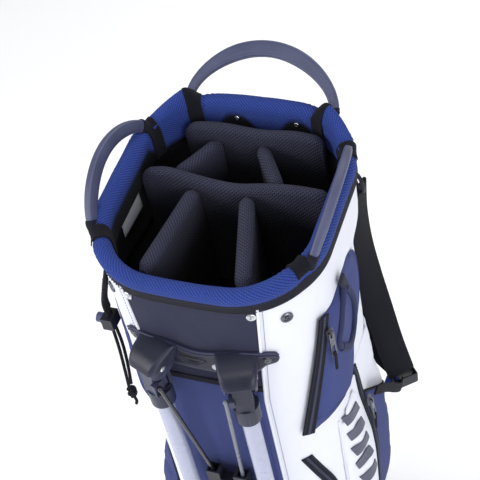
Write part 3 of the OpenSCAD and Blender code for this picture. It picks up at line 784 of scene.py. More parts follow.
def flap_shade(p):
    """How dark the painted shade on the roll's inner face is at a point: black low on the sides and in two
    hollows at the back.
    """
    x, y, z = p
    up = (z - rim_z) * math.cos(tilt) - y * math.sin(tilt)
    flat_y = y * math.cos(tilt) + (z - rim_z) * math.sin(tilt)
    reach = math.hypot(max(abs(x) - corner_x, 0), max(abs(flat_y) - corner_y, 0))
    inside = min(max((corner_r - 8 - reach) / 2, 0), 1)
    edge = -10.0 - 24 * min(max((flat_y - corner_y - 6) / 20, 0), 1)
    if flat_y > corner_y + 30:
        hollows = max(math.exp(-abs((x + 25) / 19) ** 3), math.exp(-abs((x - 41) / 19) ** 3))
        edge = -30 + 26 * hollows
    return inside * min(max((edge - up) / 8 + 0.5, 0), 1)


def shade_points(obj, choose):
    """Stores on each point how far its cloth goes to black as painted shade, chosen from its place in
    millimetres.
    """
    layer = obj.data.attributes.new("shade", "FLOAT", "POINT")
    layer.data.foreach_set("value", [choose(v.co / MM) for v in obj.data.vertices])


def make_roll():
    """Padded roll all round the rim, with painted shade on its inner face."""
    u = np.linspace(-perimeter / 2, perimeter / 2, 481)[:-1]
    roll = grid("rim_roll", roll_points(u), blue_mesh, ring_u=True, ring_v=True)
    shade_points(roll, flap_shade)
    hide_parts("rim_pad")


def make_trim():
    """Black binding that covers the roll's lower edge and the panels' upper edges."""
    u = np.linspace(-perimeter / 2, perimeter / 2, 241)[:-1]
    ahead = np.cos(np.pi / 2 * np.clip(np.abs(u) / front_bow_reach, 0, 1))[:, None]
    shape = np.array([(0.2, -22), (2.0, -22.4), (3.2, -21.2), (3.0, -14), (3.5, -8), (2.6, -5.6), (0.4, -6)])
    out, up = shape[None, :, 0], shape[None, :, 1]
    waver = 0.35 * ripple(u, np.zeros_like(u), 18, 1, 8.0)[:, None]
    upper = (up + 22.4) / 16.8
    dip = ahead * (7 - 1.5 * upper)
    rings = at_rim(u[:, None], out + 0.5 * waver + 4.2 * ahead * upper, up + waver - dip)
    trim = grid("rim_binding", rings, binding, ring_u=True, ring_v=True)
    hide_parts("rim_trim")
    stitches("rim_binding_stitches", [rings[:, 3] + (0, 0, -5), rings[:, 4]])


def make_wraps():
    """Elastic bands over the roll beside each handle's end."""
    points, faces, uv = [], [], []
    for _, side in SIDES:
        for place in wrap_places:
            u = side * (place + np.linspace(-wrap_wide / 2, wrap_wide / 2, 9))
            rings = roll_points(u, 0.9, 0.0)[::side, 6:40]
            n, m = rings.shape[:2]
            quads, places = grid_faces(n, m, False, False, len(points))
            points.extend(rings.reshape(-1, 3))
            faces.extend(quads)
            uv.extend((i * 2.1, j * 1.9) for i, j in places)
    wraps = make_piece("handle_bands", points, faces, webbing, uv=uv, closed=False)
    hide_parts("handle_wraps")
    thicken(wraps, -1.1)


wing_span = (21, 75)            # degrees round the rear corner


def wing_rise(angle):
    """How high a corner pad stands, from the side handle's band up to the back handle's."""
    begin = np.clip((angle - 22) / 36, 0, 1)
    end = np.clip((wing_span[1] - angle) / 15, 0, 1)
    return 17 * (begin ** 1.1) * ease(end)


def wing_rings(angle, side, grow=0.0):
    """Rings of a corner pad at angles round the corner, grown outwards by some millimetres."""
    profile = spline([(2.2, 1), (3.2, 6), (2.8, 11), (1.2, 17), (-2.6, 20), (-7.2, 18), (-10.6, 12),
                      (-12.4, 5), (-12.6, -4), (-9, -6), (-2, -4)], 3)
    rise = wing_rise(angle)[:, None]
    height = np.where(profile[None, :, 1] > 5, 5 + (profile[None, :, 1] - 5) * rise / 15, profile[None, :, 1])
    out = np.broadcast_to(profile[None, :, 0], height.shape)
    lean = 0.12 * np.clip(height - 6, 0, None)
    middle = np.array([-4.8, 5.0])
    away = np.stack([out - middle[0], height - middle[1]], -1)
    length = np.linalg.norm(away, axis=-1, keepdims=True)
    away = away * (1 + grow / np.maximum(length, 4))
    u = side * rear_corner(angle)
    return at_rim(u[:, None], away[..., 0] + middle[0] + lean, away[..., 1] + middle[1])


def make_wings():
    """Puffed pads over the two rear corners, which rise from the side handles to the back handle."""
    for name, side in SIDES:
        wing = bar("corner_pad_" + name, wing_rings(np.linspace(*wing_span, 61), side), blue_mesh)
        if side > 0:
            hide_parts("rim_wings")
        band = wing_rings(np.linspace(58, 71, 15), side, 1.0)[::side, 1:28]
        thicken(grid("corner_band_" + name, band, webbing), 1.0)


# ---------- handles ----------


def arch(ends, lift, power, count):
    """Points of an arch between two ends. A low power makes it squarer."""
    s = np.linspace(0, 1, count)
    ends = np.asarray(ends, float)
    rise = np.sin(np.pi * s)[:, None] ** power
    return ends[0] + (ends[1] - ends[0]) * s[:, None] + np.asarray(lift, float) * rise


def make_handle(name, node, path, wide, broad, thick, slim_to=0.8, reach_in=40, sleeve=12):
    """Moulded grip with a shallow groove along each flat, slimmer at its feet, in black sleeves."""
    shape = oval(broad, thick, 28, 0.55)
    groove = 0.35 * np.exp(-((np.abs(shape[:, 0]) - broad * 0.34) / 0.8) ** 2)
    shape[:, 1] -= np.sign(shape[:, 1]) * groove
    path = even(path, 2)
    run = lengths(path)
    reach = np.minimum(run, run[-1] - run)
    slim = slim_to + (1 - slim_to) * ease(np.clip(reach / reach_in, 0, 1))
    handle = bar(name, sweep(path, shape, wide, slim), handle_grip)
    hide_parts(node)
    for end, half in (("a", run < run[-1] / 2), ("b", run > run[-1] / 2)):
        keep = half & (reach < sleeve)
        line = path[keep]
        wide_here = np.broadcast_to(np.asarray(wide, float), path.shape)[keep]
        flare = slim[keep] * (1.0 + 0.04 * np.cos(np.linspace(0, 9, len(line))))
        rings = sweep(line, oval(broad + 2.4, thick + 2.4, 20, 0.7), wide_here, flare)
        bar(f"{name}_sleeve_{end}", rings, binding)


def make_handles():
    """One grip along each side, and a larger one across the back."""
    side_path = arch([(108, -69, 812), (104.5, 62, 826)], (12.5, 0, 35), 0.6, 96)
    back_path = arch([(-76.5, 109, 832), (79.5, 109, 833)], (0, 43, 39.5), 0.52, 120)
    make_handle("grip_right", "handle_right", side_path, (0.3, 0, 1), 14, 9.5, 0.86)
    make_handle("grip_left", "handle_left", mirrored(side_path), (-0.3, 0, 1), 14, 9.5, 0.86)
    make_handle("grip_back", "handle_back", back_path, (0, 0.8, 0.6), 16.5, 11, 0.6, 80, 7)


# ---------- dividers ----------

divider_low = corners("divider_middle")[0][2]


def make_divider(name, node, start, end, tops, thick=12.5):
    """Padded wall between two points in plan, darkened with painted shade below its top. tops gives (share of
    the length, height) of its upper edge.
    """
    start, end = np.asarray(start, float), np.asarray(end, float)
    length = np.linalg.norm(end - start)
    share = np.linspace(0, 1, max(14, int(length / 4)))
    line = spline(tops, 8)
    top = np.interp(share, line[:, 0], line[:, 1])
    half = thick / 2
    cross = np.array([-(end - start)[1], (end - start)[0]]) / length
    depth = np.linspace(0, 1, 22)[:-1]
    crown = np.linspace(0, np.pi, 11)
    rows = []
    for t, high in zip(share, top):
        centre = start + (end - start) * t
        ends = min(t, 1 - t) * length
        round_end = 1 - 0.35 * math.exp(-((ends / 5) ** 2))
        peak = high - 5 * math.exp(-((ends / 4) ** 2))
        walls = []
        for j, s in enumerate(depth):
            z = divider_low + (peak - half - divider_low) * s
            swell = 1 + 0.10 * noise.noise(Vector((t * length / 34, j / 40, start[0])))
            walls.append((half * round_end * (0.9 + 0.1 * s) * swell, z))
        ring = list(walls)
        ring += [(half * 1.06 * round_end * math.cos(a), peak - half + half * math.sin(a)) for a in crown]
        ring += [(-out, z) for out, z in reversed(walls)]
        rows.append([(*(centre + cross * out), z) for out, z in ring])
    wall = bar(name, np.array(rows), charcoal_mesh)
    mean_top = float(np.mean(top))
    # Painted shade: the wall goes to black with depth below its top.
    shade_points(wall, lambda p: 0.92 * min(max((mean_top - 8 - p[2]) / 44, 0), 1))
    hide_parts(node)


def make_dividers():
    """Two long walls across the top and four short ones, for seven ways."""
    rear_tops = [(0, 818), (0.1, 823), (0.3, 825), (0.55, 822), (0.8, 825), (1, 822)]
    middle_tops = [(0, 809), (0.05, 813), (0.14, 816), (0.26, 812), (0.4, 807), (0.52, 806), (0.66, 811),
                   (0.8, 814), (0.95, 813), (1, 810)]
    fin_tops = [(0, 812), (0.5, 809), (1, 808)]
    front_tops = [(0, 803), (0.5, 804), (1, 806)]
    walls = (("rear", (-74, 85), (74, 85), rear_tops, 12.5),
             ("middle", (-99, 22), (99, 22), middle_tops, 12.5),
             ("rear_left", (-36, 79), (-66, 28), fin_tops, 14),
             ("rear_right", (10, 79), (44, 28), fin_tops, 14),
             ("front_left", (-41, 16), (-49, -97), front_tops, 15),
             ("front_right", (15, 16), (51, -97), front_tops, 15))
    for name, start, end, tops, thick in walls:
        make_divider("wall_" + name, "divider_" + name, start, end, tops, thick)


# ---------- inside of the cuff ----------


def make_lining():
    """Dark lining of the cuff and of the tube, with a pale patch on each side."""
    u = np.linspace(-perimeter / 2, perimeter / 2, 161)[:-1][::-1]
    share = np.linspace(0, 1, 12)
    low = 738.0
    top = rim_height(u, -26)
    folds = 0.8 * ripple(u[:, None], 30 * share[None], 22, 20, 3.0)
    rings = skin(u[:, None], low + (top[:, None] - low) * share[None], -7.5 - folds)
    thicken(grid("cuff_lining", rings, black_lining, ring_u=True), -0.6)
    z = np.linspace(48, low + 4, 60)
    tube = grid("tube_lining", skin(u[:, None], z[None], -4.0), black_lining, ring_u=True)
    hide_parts("body_tube")
    thicken(tube, -1.0)
    for name, side in SIDES:
        y = np.linspace(-33, 12, 12)
        z = np.linspace(766, 788, 10)
        flat = skin(on_side(y)[:, None], z[None], -10.2)[::-1]
        thicken(grid("lining_patch_" + name, both(flat, side)[::side], grey_lining), -0.5)


def make_inner_rivets():
    """Two small rivets in the hollows of the rear flap."""
    profile = [(2.6, 0.2), (2.5, 0.9), (1.9, 1.5), (1.0, 1.2), (0.05, 1.1)]
    for name, x in (("left", -23), ("right", 41)):
        centre = tilted(x, back_y - 13.4, -9.0)
        grid("inner_rivet_" + name, lathe(centre, (0, -1, 0.1), profile), steel, ring_v=True)


# ---------- panels ----------

seam_top = (68.5, 785)        # the front seams lean: u and z at the top
seam_foot = (57, 652)
back_seam = perimeter / 2 - 70  # u of the seams beside the back panel


def seam_u(z):
    """u of the front seam beside the yoke and the spine."""
    share = np.clip((np.asarray(z, float) - seam_foot[1]) / (seam_top[1] - seam_foot[1]), 0, 1.1)
    return seam_foot[0] + (seam_top[0] - seam_foot[0]) * share


def panel(name, node, finish, left, right, low, high, out, folds, seed, across, rows):
    """Fabric panel between two edges, each a function of z, with soft folds."""
    share_z = np.linspace(0, 1, rows)[None]
    share_u = np.linspace(0, 1, across)[:, None]
    edges = []
    for edge in (left, right):
        top = high(np.atleast_1d(edge(780.0)))[0]
        edges.append(edge(low + (top - low) * share_z))
    u = edges[0] + (edges[1] - edges[0]) * share_u
    z = low + (high(u) - low) * share_z
    inset = np.minimum(share_u, 1 - share_u) * 2
    calm = np.clip(inset * 3, 0, 1) * np.clip((1 - share_z) * 6, 0, 1)
    fold = folds * calm * (0.6 * ripple(u, z, 34, 70, seed) + 0.4 * ripple(u + z * 0.5, z, 12, 30, seed + 7))
    made = grid(name, skin(u, z, out + fold), finish)
    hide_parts(node)
    thicken(made, 1.4)


def make_panels():
    """Yoke, spine, two sides and back, each up to the trim or the yoke."""
    def under_trim(u):
        return rim_height(u, -20)

    panel("yoke", "yoke_panel", yoke_cloth, lambda z: -seam_u(z), seam_u, yoke_low, under_trim, 0.5, 1.0, 1.0,
          44, 40)
    panel("spine", "spine_panel", navy_cloth, lambda z: -seam_u(z), seam_u, body_low,
          lambda u: np.full_like(u, yoke_low + 2), 0.4, 1.6, 2.0, 44, 110)
    for name, side in SIDES:
        ends = [lambda z: side * seam_u(z), lambda z: side * back_seam + 0 * z][::side]
        panel("side_" + name, name + "_panel", white_cloth, *ends, body_low, under_trim, 0.4, 2.2, 3.0 + side,
              90, 120)
    panel("rear", "back_panel", navy_cloth, lambda z: back_seam + 0 * z,
          lambda z: perimeter - back_seam + 0 * z, body_low, under_trim, 0.4, 1.8, 6.0, 50, 110)


def make_seams():
    """Piping and sewn edges on the upright body."""
    surface = off_body(0.5)
    for name, side in SIDES:
        z = np.linspace(body_low + 6, 790, 150)
        front = np.stack([side * seam_u(z), z], -1)
        bar("front_piping_" + name, strip(surface, front, cord_shape(1.5, 0.6)), white_cloth)
        stitches("front_seam_stitches_" + name, [skin(side * (seam_u(z) + 4.5), z, 1.3)], thread)
        back = np.stack([np.full_like(z, side * back_seam), z], -1)
        bar("rear_piping_" + name, strip(surface, back, cord_shape(1.4, 0.5)), binding)
        inner = np.stack([side * (seam_u(z) - 4.2), z], -1)[z < yoke_low]
        bar("spine_edge_" + name, strip(surface, inner, tape_shape(6.5, 0.8)), navy_cloth)
    u = np.linspace(-seam_u(yoke_low), seam_u(yoke_low), 60)
    low_edge = np.stack([u, np.full_like(u, yoke_low + 2)], -1)
    bar("yoke_binding", strip(surface, low_edge, tape_shape(8, 1.5)), binding)
    stitches("yoke_binding_stitches", [skin(u, yoke_low + 4.6, 2.4), skin(u, yoke_low - 0.6, 2.4)])


# ---------- apparel pockets ----------

leaf_rear = [(206, 742), (236, 716), (248, 690), (246, 655), (225, 622), (190, 605), (150, 603), (115, 592),
             (91, 583)]
valuables_front = [(171, 738), (163, 727), (156, 719), (149, 706), (142.5, 692), (144, 679)]
valuables_rear = [(180, 726), (196, 706), (208, 682), (212, 660), (206, 641), (193, 636), (172, 648),
                  (155, 664), (145, 678)]


def leaf_out(share_u, share_z):
    """How far the pocket's face stands out: soft at its edges, full inside."""
    low, full = 0.8, 6.2
    edge_u = np.clip(np.minimum(share_u, 1 - share_u) * 6, 0, 1)
    edge_z = np.clip(np.minimum(share_z, 1 - share_z) * 8, 0, 1)
    swell = np.sin(np.pi / 2 * edge_u) ** 0.7 * np.sin(np.pi / 2 * edge_z) ** 0.7
    return low + (full - low) * swell


def make_leaf(name, side):
    """Leaf-shaped pocket on a side panel, with a small valuables pocket's welts and tab on it."""
    z = np.linspace(738, 583.5, 90)
    front = np.interp(-z, [-745, -583], [129, 90])
    curve = spline(leaf_rear, 8)
    rear = np.interp(-z, -curve[:, 1], curve[:, 0])
    share_u = np.linspace(0, 1, 70)[:, None]
    share_z = np.linspace(0, 1, len(z))[None]
    u = front[None] + (rear - front)[None] * share_u
    height = np.broadcast_to(z[None], u.shape)
    sag = 0.8 * ripple(u, height, 26, 44, 11.0) + 0.4 * ripple(u + height, height, 9, 22, 12.0)
    out = leaf_out(share_u, share_z) + sag * np.clip(np.minimum(share_u, 1 - share_u) * 8, 0, 1)
    points = both(skin(u, height, out), side)[::side, ::-1]
    leaf = grid("apparel_leaf_" + name, points, navy_cloth)
    thicken(leaf, 2.0)
    if side > 0:
        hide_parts("apparel_pocket")
    piping = strip(off_body(1.0), curve[2:], cord_shape(1.6, 0.8))
    bar("apparel_piping_" + name, both(piping, side), navy_cloth)
    for place, welt, wide in (("front", valuables_front, 6.6), ("rear", valuables_rear, 8.6)):
        rings = strip(off_body(6.2), even(spline(welt, 6), 2), oval(wide, 6.4, 14, 0.9) + (0, 0.8))
        bar(f"valuables_welt_{place}_{name}", both(rings, side), welt_cloth)
    tab = even(spline([(166, 756), (170, 746), (176, 735), (181, 725)], 6), 2)
    rings = strip(off_body(5.6), tab, tape_shape(11, 2.4, 0.6))
    bar("valuables_tab_" + name, both(rings, side), grey_webbing)


def zip_line(name, surface, path, side=1, wide=13):
    """Zip on a surface: two tapes with a coil between them, and a row of stitches on each side."""
    path = even(spline(path, 8), 1.2)
    tape = strip(surface, path[::2], tape_shape(wide, 0.9, 0.4))
    bar(name + "_tape", both(tape, side), binding)
    shape = np.array([(1.7, 1.0), (1.3, 2.0), (0, 2.35), (-1.3, 2.0), (-1.7, 1.0)])
    coil = strip(surface, path, shape)
    notch = strip(surface, path, shape * (0.8, 0.7))
    coil[::2] = notch[::2]
    bar(name + "_coil", both(coil, side), slate_plastic)
    lines = []
    for across in (-wide / 2 + 1.3, wide / 2 - 1.3):
        lines.append(both(strip(surface, path[::3], [(across, 1.5)])[:, 0], side))
    stitches(name + "_stitches", lines)


# ---------- bulging pockets ----------

ball_edges = (float(on_side(-72)), float(on_side(84)))
cooler_edges = (float(on_side(-76)), float(on_side(80)))
ball_out = [(286, 1), (300, 8.5), (340, 12), (400, 13), (440, 12.2), (500, 7.6), (572, 2.2)]
cooler_out = [(166, 1), (184, 26), (220, 32.5), (280, 33.5), (330, 32.5), (400, 17), (456, 2)]
ball_zip_line = [(0, 571), (-6, 541), (-3, 510), (1, 470), (0, 440), (-4, 415), (-10, 380), (-14, 330),
                 (-14, 300)]


def bulge(u, z, edges, profile):
    """How far a bulging pocket stands out from the body."""
    line = spline(profile, 6)
    full = np.interp(z, line[:, 0], line[:, 1])
    share = np.clip((np.abs(u) - edges[0]) / (edges[1] - edges[0]), 0, 1)
    edge = np.clip(np.minimum(share, 1 - share) * 5.2, 0, 1)
    return 2.8 + full * np.sin(np.pi / 2 * edge) ** 0.75


def shell(name, edges, low, high, profile, shrink, finish, side):
    """Closed solid between the body and a pocket's bulging face, to be filled by simulation."""
    u, z = np.meshgrid(np.linspace(*edges, 60), np.linspace(low, high, 90), indexing="ij")
    front = skin(u, z, np.maximum(bulge(u, z, edges, profile) - shrink, 0.4))
    rear = skin(u, z, -1.0)
    points = np.concatenate([both(front.reshape(-1, 3), side), both(rear.reshape(-1, 3), side)])
    return make_piece(name, points, pair_faces(*u.shape), finish)


sim_frames = 20
fill_pressure = 4.0
fill_slack = 0.04               # share by which the cloth may grow
held_under = 3.4                # cloth that stands out by less than this is pinned
free_from, free_over = 3, 8     # stand-out at which the cloth starts to move, and its run to full movement


def standing(points):
    """How far points beside the body's flanks stand out from its drawn-in surface."""
    over = np.maximum(np.abs(points[:, :2]) - (corner_x, corner_y), 0)
    reach = np.hypot(over[:, 0], over[:, 1])
    return reach - corner_r + waist(on_side(points[:, 1]), points[:, 2])


def places_of(obj):
    """The piece's points in millimetres."""
    return np.array([v.co for v in obj.data.vertices]) / MM


def fill(obj, cap):
    """Fills a closed piece like a cushion: cloth under pressure, pinned where it meets the body.

    cap is the furthest a point may move.
    """
    remesh = obj.modifiers.new("Remesh", "REMESH")
    remesh.mode = "VOXEL"
    remesh.voxel_size = 5 * MM
    bake_modifiers(obj)
    start = places_of(obj)
    held = obj.vertex_groups.new(name="held")
    for index in np.nonzero(standing(start) < held_under)[0]:
        held.add([int(index)], 1.0, "REPLACE")
    cloth = obj.modifiers.new("Cloth", "CLOTH")
    cloth.settings.use_pressure = True
    cloth.settings.uniform_pressure_force = fill_pressure
    cloth.settings.effector_weights.gravity = 0
    cloth.settings.vertex_group_mass = held.name
    cloth.settings.shrink_min = -fill_slack
    cloth.settings.quality = 5
    cloth.point_cache.frame_end = sim_frames
    for frame_number in range(1, sim_frames + 1):
        bpy.context.scene.frame_set(frame_number)
    bake_modifiers(obj)
    bpy.context.scene.frame_set(1)
    moved = places_of(obj) - start
    length = np.linalg.norm(moved, axis=1, keepdims=True)
    limit = cap * np.clip((standing(start) - free_from) / free_over, 0.05, 1)[:, None]
    ends = start + moved * np.minimum(1, limit / np.maximum(length, 1e-6))
    obj.data.vertices.foreach_set("co", (ends * MM).ravel())
    smooth = obj.modifiers.new("Subdivision", "SUBSURF")
    smooth.levels = 1
    smooth.render_levels = 1
    bake_modifiers(obj)
    obj.data.shade_smooth()


def measured(obj, edges, low, high, side):
    """The face of a filled pocket as a smooth surface of u and z, measured from outside."""
    step, margin, far = 3.0, 9, 90.0
    points = [Vector(v.co) * Vector((side, 1, 1)) / MM for v in obj.data.vertices]
    tree = BVHTree.FromPolygons(points, [tuple(f.vertices) for f in obj.data.polygons])
    across = np.arange(edges[0] - margin, edges[1] + margin, step)
    height = np.arange(low - margin, high + margin, step)
    grid_u, grid_z = np.meshgrid(across, height, indexing="ij")
    start, base = skin(grid_u, grid_z, far), skin(grid_u, grid_z, 0.0)
    depth = np.zeros(grid_u.shape)
    for spot in np.ndindex(depth.shape):
        origin = Vector(start[spot])
        toward = (Vector(base[spot]) - origin).normalized()
        hit = tree.ray_cast(origin, toward, far + 2)
        depth[spot] = far - hit[3] if hit[3] is not None else 0.0
    for _ in range(6):
        ring = np.pad(depth, 1, mode="edge")
        depth = (ring[1:-1, 1:-1] * 2 + ring[:-2, 1:-1] + ring[2:, 1:-1]
                 + ring[1:-1, :-2] + ring[1:-1, 2:]) / 6

    def surface(u, z):
        u, z = np.broadcast_arrays(np.asarray(u, float), np.asarray(z, float))
        a = np.clip((u - across[0]) / step, 0, len(across) - 1.001)
        b = np.clip((z - height[0]) / step, 0, len(height) - 1.001)
        i, j = a.astype(int), b.astype(int)
        p, q = a - i, b - j
        out = (depth[i, j] * (1 - p) * (1 - q) + depth[i + 1, j] * p * (1 - q)
               + depth[i, j + 1] * (1 - p) * q + depth[i + 1, j + 1] * p * q)
        return skin(u, z, out)

    return surface


def paint_faces(obj, choose):
    """Gives each face the finish whose number choose returns for its middle, in millimetres."""
    for face in obj.data.polygons:
        face.material_index = choose(np.array(face.center) / MM)


def make_pocket_piping(name, surface, edges, low, high, side, front_finish):
    """Piping down a pocket's two upright edges."""
    for place, u, finish in (("front", edges[0] + 5, front_finish), ("rear", edges[1] - 5, binding)):
        z = np.linspace(low, high, 90)
        rings = strip(surface, np.stack([np.full_like(z, u), z], -1), cord_shape(1.5, 0.4))
        bar(f"{name}_piping_{place}", both(rings, side), finish)


def navy_top(y):
    """Height of the ball pocket's navy part at a place along Y, where its top edge is piped."""
    return 528 - 1.05 * y


def make_ball_pocket():
    """Pocket on the right side, white ahead of its zip and navy behind it."""
    low, high = 288, 572
    pocket = shell("ball_pocket_body", ball_edges, low, high, ball_out, 1.6, [white_soft, navy_soft], 1)
    fill(pocket, 3)
    line = spline(ball_zip_line, 6)
    border_z, border_y = line[::-1, 1], line[::-1, 0]

    def is_navy(p):
        return int(p[1] > np.interp(p[2], border_z, border_y) and p[2] < navy_top(max(p[1], 0)))

    paint_faces(pocket, is_navy)
    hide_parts("ball_pocket")
    surface = measured(pocket, ball_edges, low, high, 1)
    zip_line("ball_zip", surface, [(float(on_side(y)), z) for y, z in ball_zip_line], wide=15)
    y = np.linspace(2, 74, 40)
    top_edge = np.stack([on_side(y), navy_top(y)], -1)
    bar("ball_top_piping", strip(surface, top_edge, cord_shape(1.6, 0.5)), binding)
    make_pocket_piping("ball", surface, ball_edges, 296, 566, 1, white_cloth)
    make_bars(surface)


def raised(surface, u, z, out):
    """Points above a surface of u and z."""
    return surface(u, z) + normals_at(surface, u, z) * out


def make_bars(surface):
    """Plain slanted bars in place of printed lettering."""
    pitch, wide, tall = 29, 31, 17
    across = np.linspace(0, 1, 30)[:, None]
    up = np.linspace(0, 1, 14)[None]
    for number in range(5):
        u = 136 + number * 1.2 + wide * across + 4 * (up - 0.5)
        z = 566 - number * pitch - tall * up - 10 * across
        sheet = grid(f"print_bar_{number}", raised(surface, u, z, 1.5)[:, ::-1], print_grey)
        thicken(sheet, 1.4)


def make_left_pockets():
    """Large filled pocket low on the left side, with its zip, piping and bound edges."""
    low, high = 168, 456
    pocket = shell("cooler_pocket_body", cooler_edges, low, high, cooler_out, 2.2, navy_soft, -1)
    fill(pocket, 5)
    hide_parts("left_pockets")
    surface = measured(pocket, cooler_edges, low, high, -1)
    zip_points = [(10, 448), (10, 396), (8, 340), (4, 300), (-6, 262), (-24, 232)]
    zip_line("cooler_zip", surface, [(float(on_side(y)), z) for y, z in zip_points], -1)
    make_pocket_piping("cooler", surface, cooler_edges, 176, 450, -1, binding)
    u = np.linspace(cooler_edges[0] + 5, cooler_edges[1] - 5, 90)
    for place, z in (("top", 450.5), ("bottom", 174.5)):
        rings = strip(surface, np.stack([u, np.full_like(u, z)], -1), tape_shape(11, 1.6))
        bar("cooler_binding_" + place, both(rings, -1), navy_cloth)


def make_hip_pad():
    """Quilted pad on the back, crowned, with sewn channels across it."""
    low, high = corners("hip_pad")
    middle, half = (low + high) / 2, (high - low) / 2
    sx = np.linspace(-1, 1, 46)[:, None]
    sz = np.linspace(-1, 1, 100)[None]
    corner = np.clip((np.abs(sz) ** 6 + np.abs(sx) ** 6), 0, 1)
    x = middle[0] + half[0] * sx * (1 - 0.05 * np.abs(sz) ** 6)
    z = middle[2] + half[2] * sz * (1 - 0.03 * np.abs(sx) ** 6)
    crown = (1 - np.abs(sx) ** 4) ** 0.5 * (1 - np.abs(sz) ** 10) ** 0.5
    channels = sum(np.exp(-((z - c) / 3.2) ** 2) for c in (500, 560, 620))
    spine = np.exp(-(x / 3.0) ** 2) * (np.abs(sz) < 0.7)
    lift = 13.6 * crown * (1 - 0.42 * np.clip(channels + spine, 0, 1) * (1 - 0.3 * corner))
    x, z = np.broadcast_arrays(x, z)
    front = np.stack([x, low[1] + 0.6 + lift, z], -1)[::-1]
    rear = np.stack([x, np.full_like(x, low[1] + 0.2), z], -1)[::-1]
    points = np.concatenate([front.reshape(-1, 3), rear.reshape(-1, 3)])
    pad = make_piece("hip_cushion", points, pair_faces(*x.shape), pad_mesh)
    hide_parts("hip_pad")


# ---------- straps ----------

strap_points = [(103, 91, 752), (97.5, 96, 703), (95, 101.5, 650), (98, 104, 600), (106, 103, 545),
                (116.5, 99.5, 490), (127.5, 97.5, 440)]
strap_turns = [(0.1, 1, 0), (0.2, 1, 0), (0.4, 0.9, 0), (0.6, 0.8, 0), (0.75, 0.66, 0), (0.75, 0.66, 0),
               (0.75, 0.66, 0)]
tail_points = [(129, 93, 428), (131.5, 78, 438), (132, 58, 463), (130.5, 37, 492), (128.5, 17, 515),
               (127, 7, 526)]
link_points = [(64, 119.5, 600), (66, 119.5, 560), (70, 118.5, 520), (78, 114.5, 488), (90, 109.5, 466),
               (102, 105.5, 453), (114, 102, 444), (125, 100, 438)]


def make_rings():
    """Rings on the rear corners that the shoulder straps' upper ends hang from."""
    a = 2 * np.pi * np.arange(12) / 12
    profile = np.stack([9.5 + 2.2 * np.cos(a), 2.2 * np.sin(a)], -1)
    for name, side in SIDES:
        rings = lathe(both([103.5, 92, 760], side), both([0.72, 0.69, 0], side), profile, 32)
        ring = grid("strap_ring_" + name, rings, black_plastic, ring_u=True, ring_v=True)
        if side > 0:
            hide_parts("strap_rings")


def tail_stops(side):
    """Points of the webbing below a buckle. On the left its end lies on the body above the pocket."""
    if side > 0:
        return tail_points
    end = [tuple(skin(on_side(y), z, out)) for y, z, out in ((40, 478, 8), (22, 500, 3), (8, 514, 1.4))]
    return tail_points[:-3] + end


def make_straps():
    """Each shoulder strap, its tail to the pocket, its link to the back, and a folded tab at its buckle."""
    upper = [(12.6, 2.9), (13.4, 2.1), (16, 2.0), (17, 1.0)]
    under = [(12.6, -2.8), (13.4, -2.1), (16, -2.0), (17, -1.0)]
    shape = np.array([(-x, y) for x, y in under[::-1]] + under + upper[::-1] + [(-x, y) for x, y in upper])
    for name, side in SIDES:
        turns = both(spline(strap_turns, 12), side)
        strap = bar("strap_pad_" + name, sweep(both(spline(strap_points, 12), side), shape, turns), webbing)
        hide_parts("strap_" + name)
        tail_turn = (0.1 * side, 0.2, 1)
        tail_path = both(spline(tail_stops(side), 10), side)
        tail = bar("strap_tail_" + name, sweep(tail_path, oval(11.5, 2.2, 16, 0.35), tail_turn), webbing)
        link_path = both(spline(link_points, 8), side)
        link_turns = both(np.linspace((1, -0.3, 0.2), (0.3, 0.3, 0.95), len(link_path)), side)
        link = bar("strap_link_" + name, sweep(link_path, oval(26, 2.4, 16, 0.35), link_turns), webbing)
        loop = both(spline([(109, 92, 428), (117, 91, 426), (126, 90, 426)], 8), side)
        tab = bar("strap_tab_" + name, sweep(loop, oval(19, 5, 16, 0.5), tail_turn), blue_mesh)
        if side > 0:
            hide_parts("strap_tails")
            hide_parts("strap_links")


# ---------- stand and hardware ----------


def at_leg(points, side):
    """Points given in a leg's own frame, as they are in the bag's. -Y points outward there."""
    points = np.asarray(points, float)
    turn = side * leg_splay
    x = points[..., 0] * math.cos(turn) - points[..., 1] * math.sin(turn)
    y = points[..., 0] * math.sin(turn) + points[..., 1] * math.cos(turn)
    return np.stack([side * leg_x + x, y - leg_y, points[..., 2] + pivot_z], -1)


